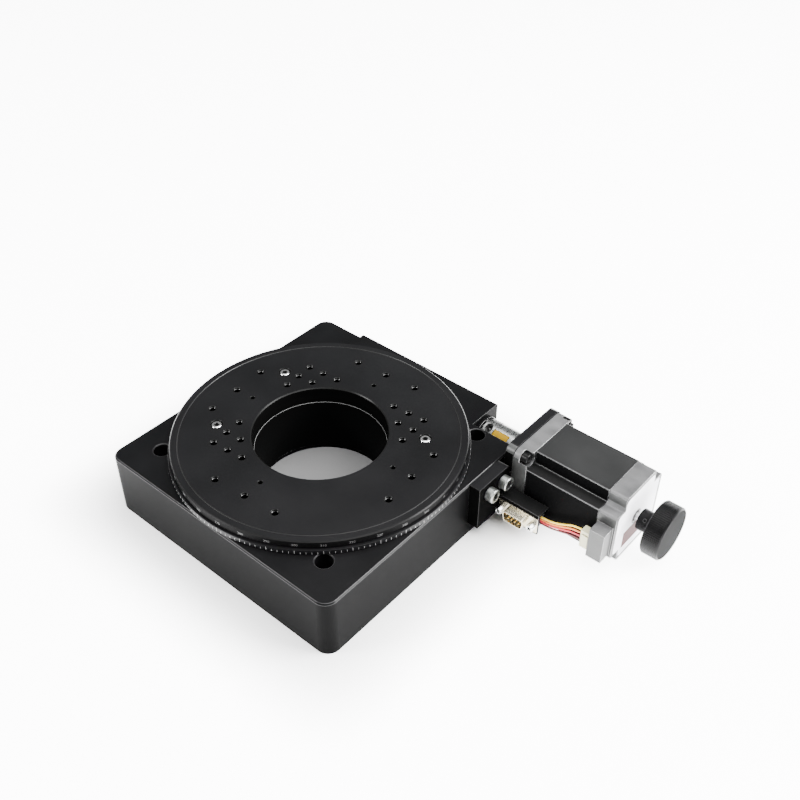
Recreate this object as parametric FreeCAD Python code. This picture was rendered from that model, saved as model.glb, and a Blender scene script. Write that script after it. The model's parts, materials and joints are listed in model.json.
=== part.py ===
import FreeCAD, Part
import math
import os

# Motorized rotation stage. Millimetres, +Z up, origin on the table's axis at the underside of the base.
# The worm and motor axis runs along +X at the back of the base.

Vector = FreeCAD.Vector

# Clearances
seatGap = 0.05          # round seats of pieces that are fixed together
faceGap = 0.1           # loose sides of fixed pieces, such as a screw in its hole
turnGap = 0.3           # round faces that pass each other as they turn
tableGap = 0.3          # under the scale ring
pocketGap = 0.6         # around a screw head in its pocket
boreGap = 0.8           # around the motor shaft in its bells
sheetGap = 0.4          # between the connector bracket and the motor
sink = 0.2              # how far a fused piece reaches into the one that carries it

# Base housing
baseLeft = 98.5
baseRight = 101.5
baseFront = 101.0
baseBack = 107.5
baseHeight = 46.0
baseCorner = 9.0
baseEdgeChamfer = 1.0
bumpLeft = 62.0         # the worm housing stands out at the back from here to the notch
bumpDepth = 4.0
notchDepth = 35.0       # of the notch that the coupling turns in, from the base's right side
notchGap = 0.8          # between the coupling and the notch's front wall
notchFloor = 8.0
baseFloor = 8.0
webThickness = 3.0
baseBoltSpacing = 150.0
baseBoltHole = 3.3
baseBoltHead = 5.8
baseBoltSeat = 9.0
baseBoltChamfer = 0.5

# Table
tableTurn = 5.0         # how far the table stands turned in the photograph, in degrees
tableRadius = 100.0
tableThickness = 6.0
tableEdgeChamfer = 0.7
pilotStep = 1.0         # the table's bore is this much wider than the aperture
grooveInset = 5.3       # from the rim to the middle of the groove
tableGrooveWidth = 0.7
tableGrooveDepth = 0.4
rimRecess = 0.8
scaleHeight = 3.7
scaleStand = 1.5        # the scale ring stands out this far past the table
scaleWidth = 9.5
spigotWall = 4.35
spigotDepth = 2.0
gridPitch = 12.5
gridHole = 2.5
pinHole = 1.6
pinHoleRadius = 60.3
tableScrewRadius = 70.7
tableScrewAngles = (30.0, 150.0, 210.0)
tableScrewLength = 8.0
tableScrewDrop = 0.2    # screw heads below the table's top

# Main bearing and rotor hub
apertureRadius = 45.0
spindleWall = 5.0
spindleLift = 0.5
baseApertureStep = 0.8  # the base's aperture is this much wider than the spindle's
raceWall = 8.85
raceWidth = 12.0
raceFloor = 22.0
hubWall = 6.0
raceLip = 4.5
clampHeight = 3.0
nutHeight = 7.0
nutWall = 7.0
flangeGap = 4.0         # between the clamp ring and the hub's flange
hubLedge = 6.0
skirtGap = 4.0          # between the clamp ring and the hub's skirt
wheelRim = 0.75         # from the skirt to the roots of the wheel's teeth
hubStep = 5.5
cavityGap = 3.0

# Worm gear: one-start right-hand worm on the +Y side of the wheel
gearModule = 1.0
wheelTeeth = 180
wheelWidth = 12.0
wormPitchRadius = 6.0
wormTurns = 7.0
flankAngle = 20.0
rootDepth = 1.25
backlash = 0.3
threadSink = 0.3        # how far the thread reaches into the worm's core
coreMargin = 2.5        # of the core past each end of the thread

# Worm bearings and shaft
journalRadius = 4.0
shoulderRadius = 5.0
smallBearingOuter = 8.0
smallBearingWidth = 5.0
smallBearingInnerWall = 1.6
leftBearingX = -42.0
rightBearingSet = 10.0  # depth of the right bearing's inner side below the notch face
shaftEndPlay = 1.0
wormNutWall = 2.4
wormNutWidth = 3.5
endCapRadius = 13.3
endCapThickness = 1.6
endCapBoss = 9.5
endCapBossHeight = 0.7

# Coupling between worm and motor
couplingRadius = 13.0
couplingGap = 0.8
couplingHub = 8.5
couplingJaw = 12.6
jawPlay = 0.4
jawInner = 7.5
jawAngle = 61.0
jawStart = 74.0         # middle of the motor-side jaw, in degrees from +Y towards +Z
spiderInner = 4.8
clampScrewOffset = 8.6
clampScrewSeat = 4.16   # of the clamp screw's head, from the slit's middle
clampScrewHead = 2.75
clampSlit = 1.0
clampSlitAngle = 63.0   # of the worm-side slit, in degrees from +Y towards +Z
slitReach = 1.0         # how far the slit's cut runs past the hub

# Motor
motorSize = 56.4
motorLift = 0.4         # the motor's underside above the plane the base stands on
bracketProud = 0.5      # the bracket's plate stands this far past its foot
frontBellLength = 11.0
frontCorner = 6.5
pilotRadius = 19.05
pilotHeight = 1.6
motorBoltInset = 4.63   # from the motor's sides to its screws, which stand 47.14 mm apart
motorBoltPocket = 4.0
motorBoltSeat = 5.0
stackLength = 56.0
stackFlat = 36.6        # width of the flats between the corner notches
rearBellLength = 13.0
rearNotchFillet = 3.5
rearEdgeFillet = 2.0
motorBearingOuter = 11.0
motorBearingWidth = 7.0
motorBearingWall = 3.0
statorBore = 15.4
rotorRadius = 15.0
rotorShort = 2.5
tieScrewY = 21.0
tieScrewZ = 14.0
tieScrewHead = 2.75
tieScrewDepth = 2.5
motorShaftRadius = 4.0
rearShaftRadius = 3.175
shaftInset = 0.9        # from the motor hub's front to the shaft's end
shaftStepInset = 0.5    # the shaft steps down this far inside its rear bearing
flangeScrewShort = 0.5  # the flange screws end this far inside the bracket

# Motor plug on the side of the rear bell
lugLength = 11.0
lugSetback = 1.5
lugDepth = 10.2
lugFloor = 14.0
lugHeight = 24.0
socketWall = 1.4
socketDepth = 8.0
socketBase = 2.0
socketLip = 0.8
plugExposed = 6.6
plugHeight = 14.4
plugRise = 9.8          # of the plug's middle above the lug's floor
latchHeight = 0.8
latchWidth = 8.64
latchFront = 1.2
leadIn = 1.5            # how far each lead reaches into the plug and the hood

# Motor leads, by hand: points from the plug to the hood, lowest lead first
leadRadius = 0.65
leadRoutes = {
    "brown": [(172.9, 62.7, 19.0), (165.1, 62.7, 19.0), (155.6, 61.4, 17.4), (146.2, 62.8, 13.4),
              (138.4, 62.8, 13.4)],
    "red": [(172.9, 62.7, 22.2), (165.1, 62.7, 22.2), (155.6, 61.9, 19.1), (146.2, 62.8, 15.3),
            (138.4, 62.8, 15.3)],
    "orange": [(172.9, 62.7, 25.4), (165.1, 62.7, 25.4), (155.6, 62.4, 20.8), (146.2, 62.8, 17.1),
               (138.4, 62.8, 17.1)],
    "yellow": [(172.9, 62.7, 28.6), (165.1, 62.7, 28.6), (155.6, 62.9, 22.5), (146.2, 62.8, 19.0),
               (138.4, 62.8, 19.0)],
}

# Motor bracket
bracketThickness = 6.5
bracketTop = 0.8        # the plate stands this far above the motor
footThickness = 8.5
footLength = 33.0
footSetback = 1.8       # from the foot to the motor's side
footFloor = 2.0
footFillet = 3.0
webHeight = 36.0
footScrewEdge = 10.0    # from the foot's front end to its first screw
footScrewSpacing = 15.0
footScrewInset = 9.0    # below the base's top
footScrewLength = 20.5

# Nine-pin connector and its bracket
sheet = 1.5
connectorInset = 10.0   # from the foot's back end to the bracket's outer face
connectorFloor = 9.0
connectorHeight = 17.0
connectorWidth = 32.0
shellInset = 16.4       # from the foot to the shell's middle
shellRise = 8.2
flangeWidth = 30.8
flangeHeight = 12.5
flangeThickness = 1.0
shellWidth = 17.0
shellHeight = 8.4
shellLength = 6.0
shellWall = 0.6
shellSlope = 10.0
shellCorner = 2.0
mouthMargin = 1.0
insertSink = 0.5
jackSpacing = 25.0
jackFlats = 4.8
jackLength = 5.0
hoodLength = 23.0
hoodDepth = 8.6
hoodHeight = 11.4
hoodOverhang = 1.0      # past the jack screw

# Hand knob
knobRadius = 19.0
knobLength = 12.6
knobEdge = 1.0
knobHubRadius = 7.5
knobHubLength = 10.0
knobGap = 3.5           # between the rear bell and the knob's hub
knobShaftIn = 12.0

# Metric socket head screws: shank radius, head radius, head height, width of the socket
screwM5 = (2.5, 4.25, 5.0, 4.0)
screwM4 = (2.0, 3.5, 4.0, 3.0)
socketShare = 0.6       # depth of a screw's socket as a share of its head

# Derived places
scaleFloor = baseHeight + tableGap
tableBottom = scaleFloor + scaleHeight
tableTop = tableBottom + tableThickness
tableBore = apertureRadius + pilotStep
tableGroove = tableRadius - grooveInset
baseApertureRadius = apertureRadius + baseApertureStep
spindleOuter = apertureRadius + spindleWall
innerRaceOuter = spindleOuter + raceWall
outerRaceInner = innerRaceOuter + turnGap
outerRaceOuter = outerRaceInner + raceWall
hubOuter = outerRaceOuter + hubWall
raceTop = raceFloor + raceWidth
wheelPitchRadius = gearModule * wheelTeeth / 2
wheelTip = wheelPitchRadius + gearModule
wheelRoot = wheelPitchRadius - rootDepth * gearModule
wormTip = wormPitchRadius + gearModule
wormRoot = wormPitchRadius - rootDepth * gearModule
wormPitch = math.pi * gearModule
axisY = wheelPitchRadius + wormPitchRadius
axisZ = motorSize / 2 + motorLift
cavityRadius = wheelTip + cavityGap
skirtOuter = wheelRoot - wheelRim
skirtInner = hubOuter + skirtGap
wheelFloor = axisZ - wheelWidth / 2
wheelCeiling = axisZ + wheelWidth / 2
scaleOuter = tableRadius + scaleStand
scaleInner = scaleOuter - scaleWidth
spigotOuter = scaleInner - seatGap
spigotInner = spigotOuter - spigotWall
hubSeatOuter = spigotInner - faceGap
notchRight = baseRight - notchDepth
notchFront = axisY - couplingRadius - notchGap
backOfNotch = baseBack + bumpDepth
rightBearingX = notchRight - rightBearingSet
couplingX = notchRight + endCapThickness + endCapBossHeight + couplingGap
jawX = couplingX + couplingHub
motorHubX = jawX + couplingJaw + jawPlay
couplingEnd = motorHubX + couplingHub
shaftFrontX = motorHubX + shaftInset
footX = baseRight + footThickness
frontBellX = footX + bracketProud
bracketX = frontBellX - bracketThickness
stackX = frontBellX + frontBellLength
rearBellX = stackX + stackLength
rearFaceX = rearBellX + rearBellLength
motorHalf = motorSize / 2
motorSideY = axisY - motorHalf
footBack = motorSideY - footSetback
footFront = footBack - footLength
footScrewZ = baseHeight - footScrewInset
connectorFace = footBack - connectorInset
shellCentreX = footX + shellInset
shellCentreZ = connectorFloor + shellRise
knobHubX = rearFaceX + knobGap
knobX = knobHubX + knobHubLength


def at(x, y, z):
    return Vector(x, y, z)


def box(x0, x1, y0, y1, z0, z1):
    return Part.makeBox(x1 - x0, y1 - y0, z1 - z0, at(x0, y0, z0))


def rodX(radius, x0, x1, y=axisY, z=axisZ):
    return Part.makeCylinder(radius, x1 - x0, at(x0, y, z), at(1, 0, 0))


def rodY(radius, y0, y1, x, z):
    return Part.makeCylinder(radius, y1 - y0, at(x, y0, z), at(0, 1, 0))


def rodZ(radius, z0, z1, x=0.0, y=0.0):
    return Part.makeCylinder(radius, z1 - z0, at(x, y, z0))


def ringX(inner, outer, x0, x1):
    return rodX(outer, x0, x1).cut(rodX(inner, x0 - 1, x1 + 1))


def ringZ(inner, outer, z0, z1):
    return rodZ(outer, z0, z1).cut(rodZ(inner, z0 - 1, z1 + 1))


def polar(radius, degrees):
    angle = math.radians(degrees)
    return radius * math.cos(angle), radius * math.sin(angle)


def revolved(points):
    """A solid turned about Z from points given as radius and height."""
    corners = [at(radius, 0, height) for radius, height in points]
    face = Part.Face(Part.makePolygon(corners + corners[:1]))
    return face.revolve(at(0, 0, 0), at(0, 0, 1), 360)


def roundedSquareX(size, x0, x1, corner, centreY=axisY, centreZ=axisZ):
    half = size / 2
    solid = box(x0, x1, centreY - half, centreY + half, centreZ - half, centreZ + half)
    lengthwise = [edge for edge in solid.Edges if abs(edge.tangentAt(edge.FirstParameter).x) > 0.99]
    return solid.makeFillet(corner, lengthwise)


def hexagon(flats, length, place, direction):
    """A six-sided prism with the given width across flats."""
    radius = flats / math.sqrt(3)
    corners = [at(*polar(radius, 60 * side), 0) for side in range(7)]
    prism = Part.Face(Part.makePolygon(corners)).extrude(at(0, 0, length))
    turn = FreeCAD.Rotation(at(0, 0, 1), direction)
    prism.Placement = FreeCAD.Placement(place, turn)
    return prism


def capScrew(size, length, seat, direction):
    """A socket head screw. Its head starts at seat, and its shank runs along direction."""
    shank, head, height, socket = size
    body = Part.makeCylinder(shank, length, seat, direction)
    top = Part.makeCylinder(head, height, seat - direction * height, direction)
    key = hexagon(socket, height * socketShare, seat - direction * height, direction)
    return body.fuse(top).removeSplitter().cut(key)


def holeFor(size, length, seat, direction, gap=faceGap):
    return Part.makeCylinder(size[0] + gap, length, seat, direction)


def onCircle(count, radius, start=0.0):
    return [polar(radius, start + 360 * step / count) for step in range(count)]


def save(name, shape):
    shape.exportStep(f"parts/{name}.step")
    print(name, round(shape.Volume), len(shape.Solids), shape.isValid())


os.makedirs("parts", exist_ok=True)
up = at(0, 0, 1)
down = at(0, 0, -1)
againstX = at(-1, 0, 0)

# Base housing: the outline with its bump, one chamfered top edge, then all cuts
housing = box(-baseLeft, baseRight, -baseFront, baseBack, 0, baseHeight)
cornerEdges = []
for edge in housing.Edges:
    middle = edge.CenterOfMass
    upright = abs(edge.tangentAt(edge.FirstParameter).z) > 0.99
    if upright and (middle.x < 0 or middle.y < 0):
        cornerEdges.append(edge)
housing = housing.makeFillet(baseCorner, cornerEdges)
bump = box(-bumpLeft, baseRight, baseBack - 1, backOfNotch, 0, baseHeight)
housing = housing.fuse(bump).removeSplitter()
notch = box(notchRight, baseRight + 1, notchFront, backOfNotch + 1, notchFloor, baseHeight + 1)
rim = [edge for edge in housing.Edges if edge.BoundBox.ZMin > baseHeight - 0.01]
housing = housing.makeChamfer(baseEdgeChamfer, rim)
housing = housing.cut(notch)
housing = housing.cut(ringZ(hubOuter, cavityRadius, baseFloor, baseHeight + 1))
housing = housing.cut(rodZ(hubOuter + 1, raceTop, baseHeight + 1))
housing = housing.cut(rodZ(outerRaceOuter + seatGap, raceFloor, raceTop + 1))
housing = housing.cut(rodZ(outerRaceOuter - raceLip, webThickness, raceFloor + 1))
housing = housing.cut(rodZ(baseApertureRadius, -1, webThickness + 1))
half = baseBoltSpacing / 2
for x in (-half, half):
    for y in (-half, half):
        housing = housing.cut(rodZ(baseBoltHole, -1, baseHeight + 1, x, y))
        housing = housing.cut(rodZ(baseBoltHead, baseBoltSeat, baseHeight + 1, x, y))
        cone = Part.makeCone(baseBoltHead, baseBoltHead + baseBoltChamfer, baseBoltChamfer,
                             at(x, y, baseHeight - baseBoltChamfer))
        housing = housing.cut(cone)
housing = housing.cut(rodX(smallBearingOuter + seatGap, leftBearingX, notchRight + 1))
housing = housing.cut(rodX(journalRadius + smallBearingInnerWall, leftBearingX - 3, leftBearingX + 1))
footHoles = [footFront + footScrewEdge, footFront + footScrewEdge + footScrewSpacing]
footReach = footScrewLength - footThickness
for y in footHoles:
    housing = housing.cut(holeFor(screwM5, footReach + 1, at(baseRight, y, footScrewZ), againstX))
save("base_housing", housing)

# Main bearing: two rings that leave a narrow gap over the rollers, and the ring that clamps the outer one
save("outer_race", ringZ(outerRaceInner, outerRaceOuter, raceFloor, raceTop))
save("inner_race", ringZ(spindleOuter + seatGap, innerRaceOuter, raceFloor, raceTop))
clampInner = outerRaceOuter - raceLip
save("race_clamp_ring", ringZ(clampInner, hubOuter, raceTop, raceTop + clampHeight))

# Rotor hub: spindle tube, flange under the table and skirt that carries the worm wheel
flangeFloor = raceTop + clampHeight + flangeGap
hub = revolved([
    (apertureRadius, webThickness + spindleLift),
    (spindleOuter, webThickness + spindleLift),
    (spindleOuter, raceTop),
    (spindleOuter + hubStep, raceTop),
    (spindleOuter + hubStep, flangeFloor),
    (skirtInner, flangeFloor),
    (skirtInner, wheelCeiling),
    (skirtOuter, wheelCeiling),
    (skirtOuter, scaleFloor),
    (hubSeatOuter, scaleFloor),
    (hubSeatOuter, tableBottom),
    (tableBore, tableBottom),
    (tableBore, tableBottom - hubLedge),
    (apertureRadius, tableBottom - hubLedge),
])
tableScrews = []
tableScrewSeat = tableTop - screwM4[2] - tableScrewDrop
tableScrewPlaces = [polar(tableScrewRadius, tableTurn + angle) for angle in tableScrewAngles]
for x, y in tableScrewPlaces:
    hub = hub.cut(holeFor(screwM4, tableScrewLength + 1, at(x, y, tableScrewSeat), down))
    tableScrews.append(capScrew(screwM4, tableScrewLength, at(x, y, tableScrewSeat), down))
save("rotor_hub", hub)
save("table_screws", Part.makeCompound(tableScrews))
save("spindle_nut", ringZ(spindleOuter + seatGap, spindleOuter + nutWall, raceFloor - nutHeight, raceFloor))

# Table: a disc with a spigot for the scale ring, its hole grid, grooves and chamfers
table = revolved([
    (tableBore, tableBottom),
    (spigotInner, tableBottom),
    (spigotInner, tableBottom - spigotDepth),
    (spigotOuter, tableBottom - spigotDepth),
    (spigotOuter, tableBottom),
    (tableRadius - rimRecess, tableBottom),
    (tableRadius - rimRecess, tableBottom + rimRecess),
    (tableRadius, tableBottom + rimRecess),
    (tableRadius, tableTop - tableEdgeChamfer),
    (tableRadius - tableEdgeChamfer, tableTop),
    (tableGroove + tableGrooveWidth / 2, tableTop),
    (tableGroove + tableGrooveWidth / 2, tableTop - tableGrooveDepth),
    (tableGroove - tableGrooveWidth / 2, tableTop - tableGrooveDepth),
    (tableGroove - tableGrooveWidth / 2, tableTop),
    (tableBore + tableEdgeChamfer, tableTop),
    (tableBore, tableTop - tableEdgeChamfer),
])


def drilled(radius, x, y):
    """A through hole in the table, given on the table's own axes."""
    turn = math.radians(tableTurn)
    tx = x * math.cos(turn) - y * math.sin(turn)
    ty = x * math.sin(turn) + y * math.cos(turn)
    return rodZ(radius, tableBottom - 1, tableTop + 1, tx, ty)


# Six holes in each of three quarters, the fourth being bare
cluster = [(2, 4), (3, 4), (4, 4), (3, 3), (4, 3), (4, 2)]
tableHoles = []
for sideX, sideY in ((1, 1), (-1, 1), (-1, -1)):
    for column, row in cluster:
        tableHoles.append(drilled(gridHole, sideX * column * gridPitch, sideY * row * gridPitch))
# Three holes near the edge on each side
for step in (-2, 0, 2):
    for side in (-6, 6):
        tableHoles.append(drilled(gridHole, side * gridPitch, step * gridPitch))
        tableHoles.append(drilled(gridHole, step * gridPitch, side * gridPitch))
for x, y in onCircle(4, pinHoleRadius):
    tableHoles.append(drilled(pinHole, x, y))
for x, y in tableScrewPlaces:
    tableHoles.append(holeFor(screwM4, tableThickness + 2, at(x, y, tableTop + 1), down))
    tableHoles.append(rodZ(screwM4[1] + pocketGap, tableScrewSeat, tableTop + 1, x, y))
table = table.cut(Part.makeCompound(tableHoles))
save("table_top", table)
save("scale_ring", ringZ(scaleInner, scaleOuter, tableBottom - scaleHeight, tableBottom))

# Worm wheel: one outline of straight-sided teeth, turned as it rises to follow the worm's lead
leadSlope = gearModule / (2 * wormPitchRadius)
toothAtPitch = wormPitch / 2 - backlash / 2
flank = math.tan(math.radians(flankAngle))
toothAtTip = toothAtPitch - 2 * gearModule * flank
toothAtRoot = toothAtPitch + 2 * rootDepth * gearModule * flank


def toothedWire(z):
    """The wheel's outline at height z, with a gap centred on +Y at the worm's height."""
    twist = (z - axisZ) * leadSlope / wheelPitchRadius
    corners = []
    for tooth in range(wheelTeeth):
        middle = math.pi / 2 + twist + (tooth + 0.5) * 2 * math.pi / wheelTeeth
        for radius, width, side in ((wheelRoot, toothAtRoot, -1), (wheelTip, toothAtTip, -1),
                                    (wheelTip, toothAtTip, 1), (wheelRoot, toothAtRoot, 1)):
            angle = middle + side * width / 2 / radius
            corners.append(at(radius * math.cos(angle), radius * math.sin(angle), z))
    return Part.makePolygon(corners + corners[:1])


lowWire = toothedWire(wheelFloor)
highWire = toothedWire(wheelCeiling)
teeth = [Part.makeRuledSurface(low, high) for low, high in zip(lowWire.Edges, highWire.Edges)]
wheelBody = Part.Solid(Part.makeShell(teeth + [Part.Face(lowWire), Part.Face(highWire)]))
if wheelBody.Volume < 0:
    wheelBody.reverse()
wheel = wheelBody.cut(rodZ(skirtInner, wheelFloor - 1, wheelCeiling + 1))
save("worm_wheel", wheel)

# Worm shaft with its thread, swept along a helix and in mesh with the wheel at rest
threadLength = wormTurns * wormPitch
helix = Part.makeHelix(wormPitch, threadLength, wormPitchRadius)
buried = wormRoot - threadSink
widthBuried = toothAtRoot + 2 * threadSink * flank
threadProfile = Part.makePolygon([
    at(buried, 0, -widthBuried / 2),
    at(wormTip, 0, -toothAtTip / 2),
    at(wormTip, 0, toothAtTip / 2),
    at(buried, 0, widthBuried / 2),
    at(buried, 0, -widthBuried / 2),
])
thread = Part.Wire(helix).makePipeShell([threadProfile], True, True)
core = Part.makeCylinder(wormRoot, threadLength + 2 * coreMargin, at(0, 0, -coreMargin))
core.rotate(at(0, 0, 0), at(0, 0, 1), 90)
threaded = core.fuse(thread)
threadStart = wormPitch / 4 - math.floor(wormTurns / 2 + 0.5) * wormPitch
threaded.Placement = FreeCAD.Placement(at(threadStart, axisY, axisZ), FreeCAD.Rotation(at(0, 1, 0), 90))
shaftEnd = leftBearingX - shaftEndPlay
leftShoulder = leftBearingX + smallBearingWidth
coreLeft = threadStart - coreMargin
coreRight = threadStart + threadLength + coreMargin
wormShaft = rodX(journalRadius, shaftEnd, leftShoulder)
wormShaft = wormShaft.fuse(rodX(shoulderRadius, leftShoulder, coreLeft))
wormShaft = wormShaft.fuse(threaded)
wormShaft = wormShaft.fuse(rodX(shoulderRadius, coreRight, rightBearingX))
wormShaft = wormShaft.fuse(rodX(journalRadius, rightBearingX, jawX - jawPlay))
save("worm_shaft", wormShaft)


def saveBearing(name, x, outer, width, innerWall):
    """The two rings of a small sealed ball bearing on the worm and motor axis."""
    middle = journalRadius + innerWall
    save(f"{name}_inner", ringX(journalRadius + seatGap, middle, x, x + width))
    save(f"{name}_outer", ringX(middle + turnGap, outer, x, x + width))


saveBearing("worm_bearing_left", leftBearingX, smallBearingOuter, smallBearingWidth, smallBearingInnerWall)
saveBearing("worm_bearing_right", rightBearingX, smallBearingOuter, smallBearingWidth, smallBearingInnerWall)
nutX = rightBearingX + smallBearingWidth
save("worm_locknut", ringX(journalRadius + seatGap, journalRadius + wormNutWall, nutX, nutX + wormNutWidth))

# End cap on the notch face, with a nose that holds the right bearing
endCapX = notchRight + endCapThickness
cap = rodX(endCapRadius, notchRight, endCapX)
cap = cap.fuse(rodX(endCapBoss, endCapX, endCapX + endCapBossHeight))
cap = cap.fuse(rodX(smallBearingOuter, nutX, notchRight))
cap = cap.cut(rodX(journalRadius + wormNutWall + turnGap, nutX - 1, notchRight))
cap = cap.cut(rodX(journalRadius + turnGap, nutX - 1, couplingX))
save("worm_end_cap", cap)


# Coupling: two clamping hubs with two jaws each, and a four-legged spider between the jaws
def sector(inner, outer, middle, width, x0, x1, gap=0.0):
    """A piece of a ring about the worm axis. Its sides are drawn in by gap."""
    ring = ringX(inner, outer, x0, x1)
    reach = outer * 2
    for side in (-1, 1):
        edge = math.radians(middle + side * width / 2)
        away = at(0, -math.sin(edge), math.cos(edge)) * side
        along = at(0, math.cos(edge), math.sin(edge))
        start = at(x0 - 1, axisY, axisZ) - away * gap
        corners = [start - along * reach, start + along * reach,
                   start + along * reach + away * reach, start - along * reach + away * reach]
        wedge = Part.Face(Part.makePolygon(corners + corners[:1])).extrude(at(x1 - x0 + 2, 0, 0))
        ring = ring.cut(wedge)
    return ring


def clampHub(x0, x1, bore, jaws, jawStartX, jawEndX, slit):
    """A hub with its jaws, a pocket for its clamp screw and a slit at the given angle."""
    body = ringX(bore + seatGap, couplingRadius, x0, x1)
    for middle in jaws:
        body = body.fuse(sector(jawInner, couplingRadius, middle, jawAngle, jawStartX, jawEndX))
    edge = math.radians(slit)
    radial = at(0, math.cos(edge), math.sin(edge))
    across = at(0, -math.sin(edge), math.cos(edge))
    middleX = (x0 + x1) / 2
    centre = at(middleX, axisY, axisZ)
    corner = centre - across * (clampSlit / 2) - at((x1 - x0) / 2, 0, 0)
    outer = radial * (couplingRadius + slitReach)
    cutFace = Part.Face(Part.makePolygon([
        corner,
        corner + outer,
        corner + outer + across * clampSlit,
        corner + across * clampSlit,
        corner,
    ]))
    body = body.cut(cutFace.extrude(at(x1 - x0, 0, 0)))
    headSeat = centre + radial * clampScrewOffset + across * clampScrewSeat
    return body.cut(Part.makeCylinder(clampScrewHead + faceGap, couplingRadius, headSeat, across))


quarter = 90.0
wormJaws = (jawStart + quarter, jawStart + 3 * quarter)
motorJaws = (jawStart, jawStart + 2 * quarter)
spiderLegs = [jawStart + quarter / 2 + quarter * leg for leg in range(4)]
wormHub = clampHub(couplingX, jawX, journalRadius, wormJaws, jawX, motorHubX - jawPlay, clampSlitAngle)
motorHub = clampHub(motorHubX, couplingEnd, motorShaftRadius, motorJaws, jawX + jawPlay, motorHubX,
                    clampSlitAngle + 2 * quarter)
spider = ringX(spiderInner, jawInner - faceGap, jawX + jawPlay, motorHubX - jawPlay)
for middle in spiderLegs:
    leg = sector(jawInner - 1, couplingRadius, middle, quarter - jawAngle, jawX + jawPlay,
                 motorHubX - jawPlay, faceGap)
    spider = spider.fuse(leg)
save("coupling_hub_worm", wormHub)
save("coupling_hub_motor", motorHub)
save("coupling_spider", spider)

# Motor bracket: an upright plate, its foot against the base and the web between them
plate = box(bracketX, frontBellX, motorSideY, axisY + motorHalf, motorLift, axisZ + motorHalf + bracketTop)
plateTop = []
for edge in plate.Edges:
    if abs(edge.tangentAt(edge.FirstParameter).x) > 0.99 and edge.CenterOfMass.z > axisZ:
        plateTop.append(edge)
plate = plate.makeFillet(frontCorner, plateTop)
foot = box(baseRight, footX, footFront, footBack, footFloor, baseHeight)
footEnd = []
for edge in foot.Edges:
    middle = edge.CenterOfMass
    atTopBack = middle.y > footFront + 1 and middle.z > footFloor + 1
    if abs(edge.tangentAt(edge.FirstParameter).x) > 0.99 and atTopBack:
        footEnd.append(edge)
foot = foot.makeFillet(footFillet, footEnd)
web = box(bracketX, footX, footBack - 1, motorSideY + 1, footFloor, footFloor + webHeight)
bracket = plate.fuse(foot).fuse(web).removeSplitter()
bracket = bracket.cut(rodX(pilotRadius + seatGap, bracketX - 1, frontBellX + 1))
footScrews = []
for y in footHoles:
    seat = at(footX, y, footScrewZ)
    bracket = bracket.cut(holeFor(screwM5, footThickness + 1, seat, againstX))
    footScrews.append(capScrew(screwM5, footScrewLength, seat, againstX))
motorBolts = []
boltHalf = motorHalf - motorBoltInset
for y in (axisY - boltHalf, axisY + boltHalf):
    for z in (axisZ - boltHalf, axisZ + boltHalf):
        bracket = bracket.cut(holeFor(screwM4, bracketThickness + 2, at(frontBellX + 1, y, z), againstX))
        motorBolts.append((y, z))
save("motor_bracket", bracket)
save("bracket_foot_screws", Part.makeCompound(footScrews))

# Motor front bell with its pilot, bearing seat and screw pockets
frontBell = roundedSquareX(motorSize, frontBellX, stackX, frontCorner)
frontBell = frontBell.fuse(rodX(pilotRadius, frontBellX - pilotHeight, frontBellX))
frontSeatX = stackX - motorBearingWidth
frontBell = frontBell.cut(rodX(motorBearingOuter + seatGap, frontSeatX, stackX + 1))
frontBell = frontBell.cut(rodX(motorShaftRadius + boreGap, frontBellX - pilotHeight - 1, stackX))
flangeScrews = []
flangeScrewLength = motorBoltSeat + bracketThickness - flangeScrewShort
pocketX = frontBellX + motorBoltSeat
for y, z in motorBolts:
    seat = at(pocketX, y, z)
    frontBell = frontBell.cut(rodX(motorBoltPocket, pocketX, stackX + 1, y, z))
    frontBell = frontBell.cut(holeFor(screwM4, motorBoltSeat + 1, seat, againstX))
    flangeScrews.append(capScrew(screwM4, flangeScrewLength, seat, againstX))
tiePlaces = [(axisY + y, axisZ + z) for y in (-tieScrewY, tieScrewY) for z in (-tieScrewZ, tieScrewZ)]
save("motor_front_bell", frontBell)
save("motor_flange_screws", Part.makeCompound(flangeScrews))


# Motor stack and rear bell share the square outline with notched corners
def notchedSquare(x0, x1, innerFillet=0.0, outerFillet=0.0):
    solid = box(x0, x1, axisY - motorHalf, axisY + motorHalf, axisZ - motorHalf, axisZ + motorHalf)
    inside = stackFlat / 2
    for sideY in (-1, 1):
        for sideZ in (-1, 1):
            ys = sorted((axisY + sideY * inside, axisY + sideY * (motorHalf + 1)))
            zs = sorted((axisZ + sideZ * inside, axisZ + sideZ * (motorHalf + 1)))
            solid = solid.cut(box(x0 - 1, x1 + 1, ys[0], ys[1], zs[0], zs[1]))
    inner = []
    outer = []
    for edge in solid.Edges:
        if abs(edge.tangentAt(edge.FirstParameter).x) < 0.99:
            continue
        reachY = abs(edge.CenterOfMass.y - axisY)
        reachZ = abs(edge.CenterOfMass.z - axisZ)
        if max(reachY, reachZ) < inside + 0.1:
            inner.append(edge)
        else:
            outer.append(edge)
    if innerFillet:
        solid = solid.makeFillet(innerFillet, inner)
        outer = []
        for edge in solid.Edges:
            if edge.Curve.TypeId != "Part::GeomLine" or abs(edge.tangentAt(edge.FirstParameter).x) < 0.99:
                continue
            reachY = abs(edge.CenterOfMass.y - axisY)
            reachZ = abs(edge.CenterOfMass.z - axisZ)
            if max(reachY, reachZ) > motorHalf - 0.1 and min(reachY, reachZ) > inside - 0.1:
                outer.append(edge)
        solid = solid.makeFillet(outerFillet, outer)
    return solid


stack = notchedSquare(stackX, rearBellX)
stack = stack.cut(rodX(statorBore, stackX - 1, rearBellX + 1))
save("stator_stack", stack)

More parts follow.
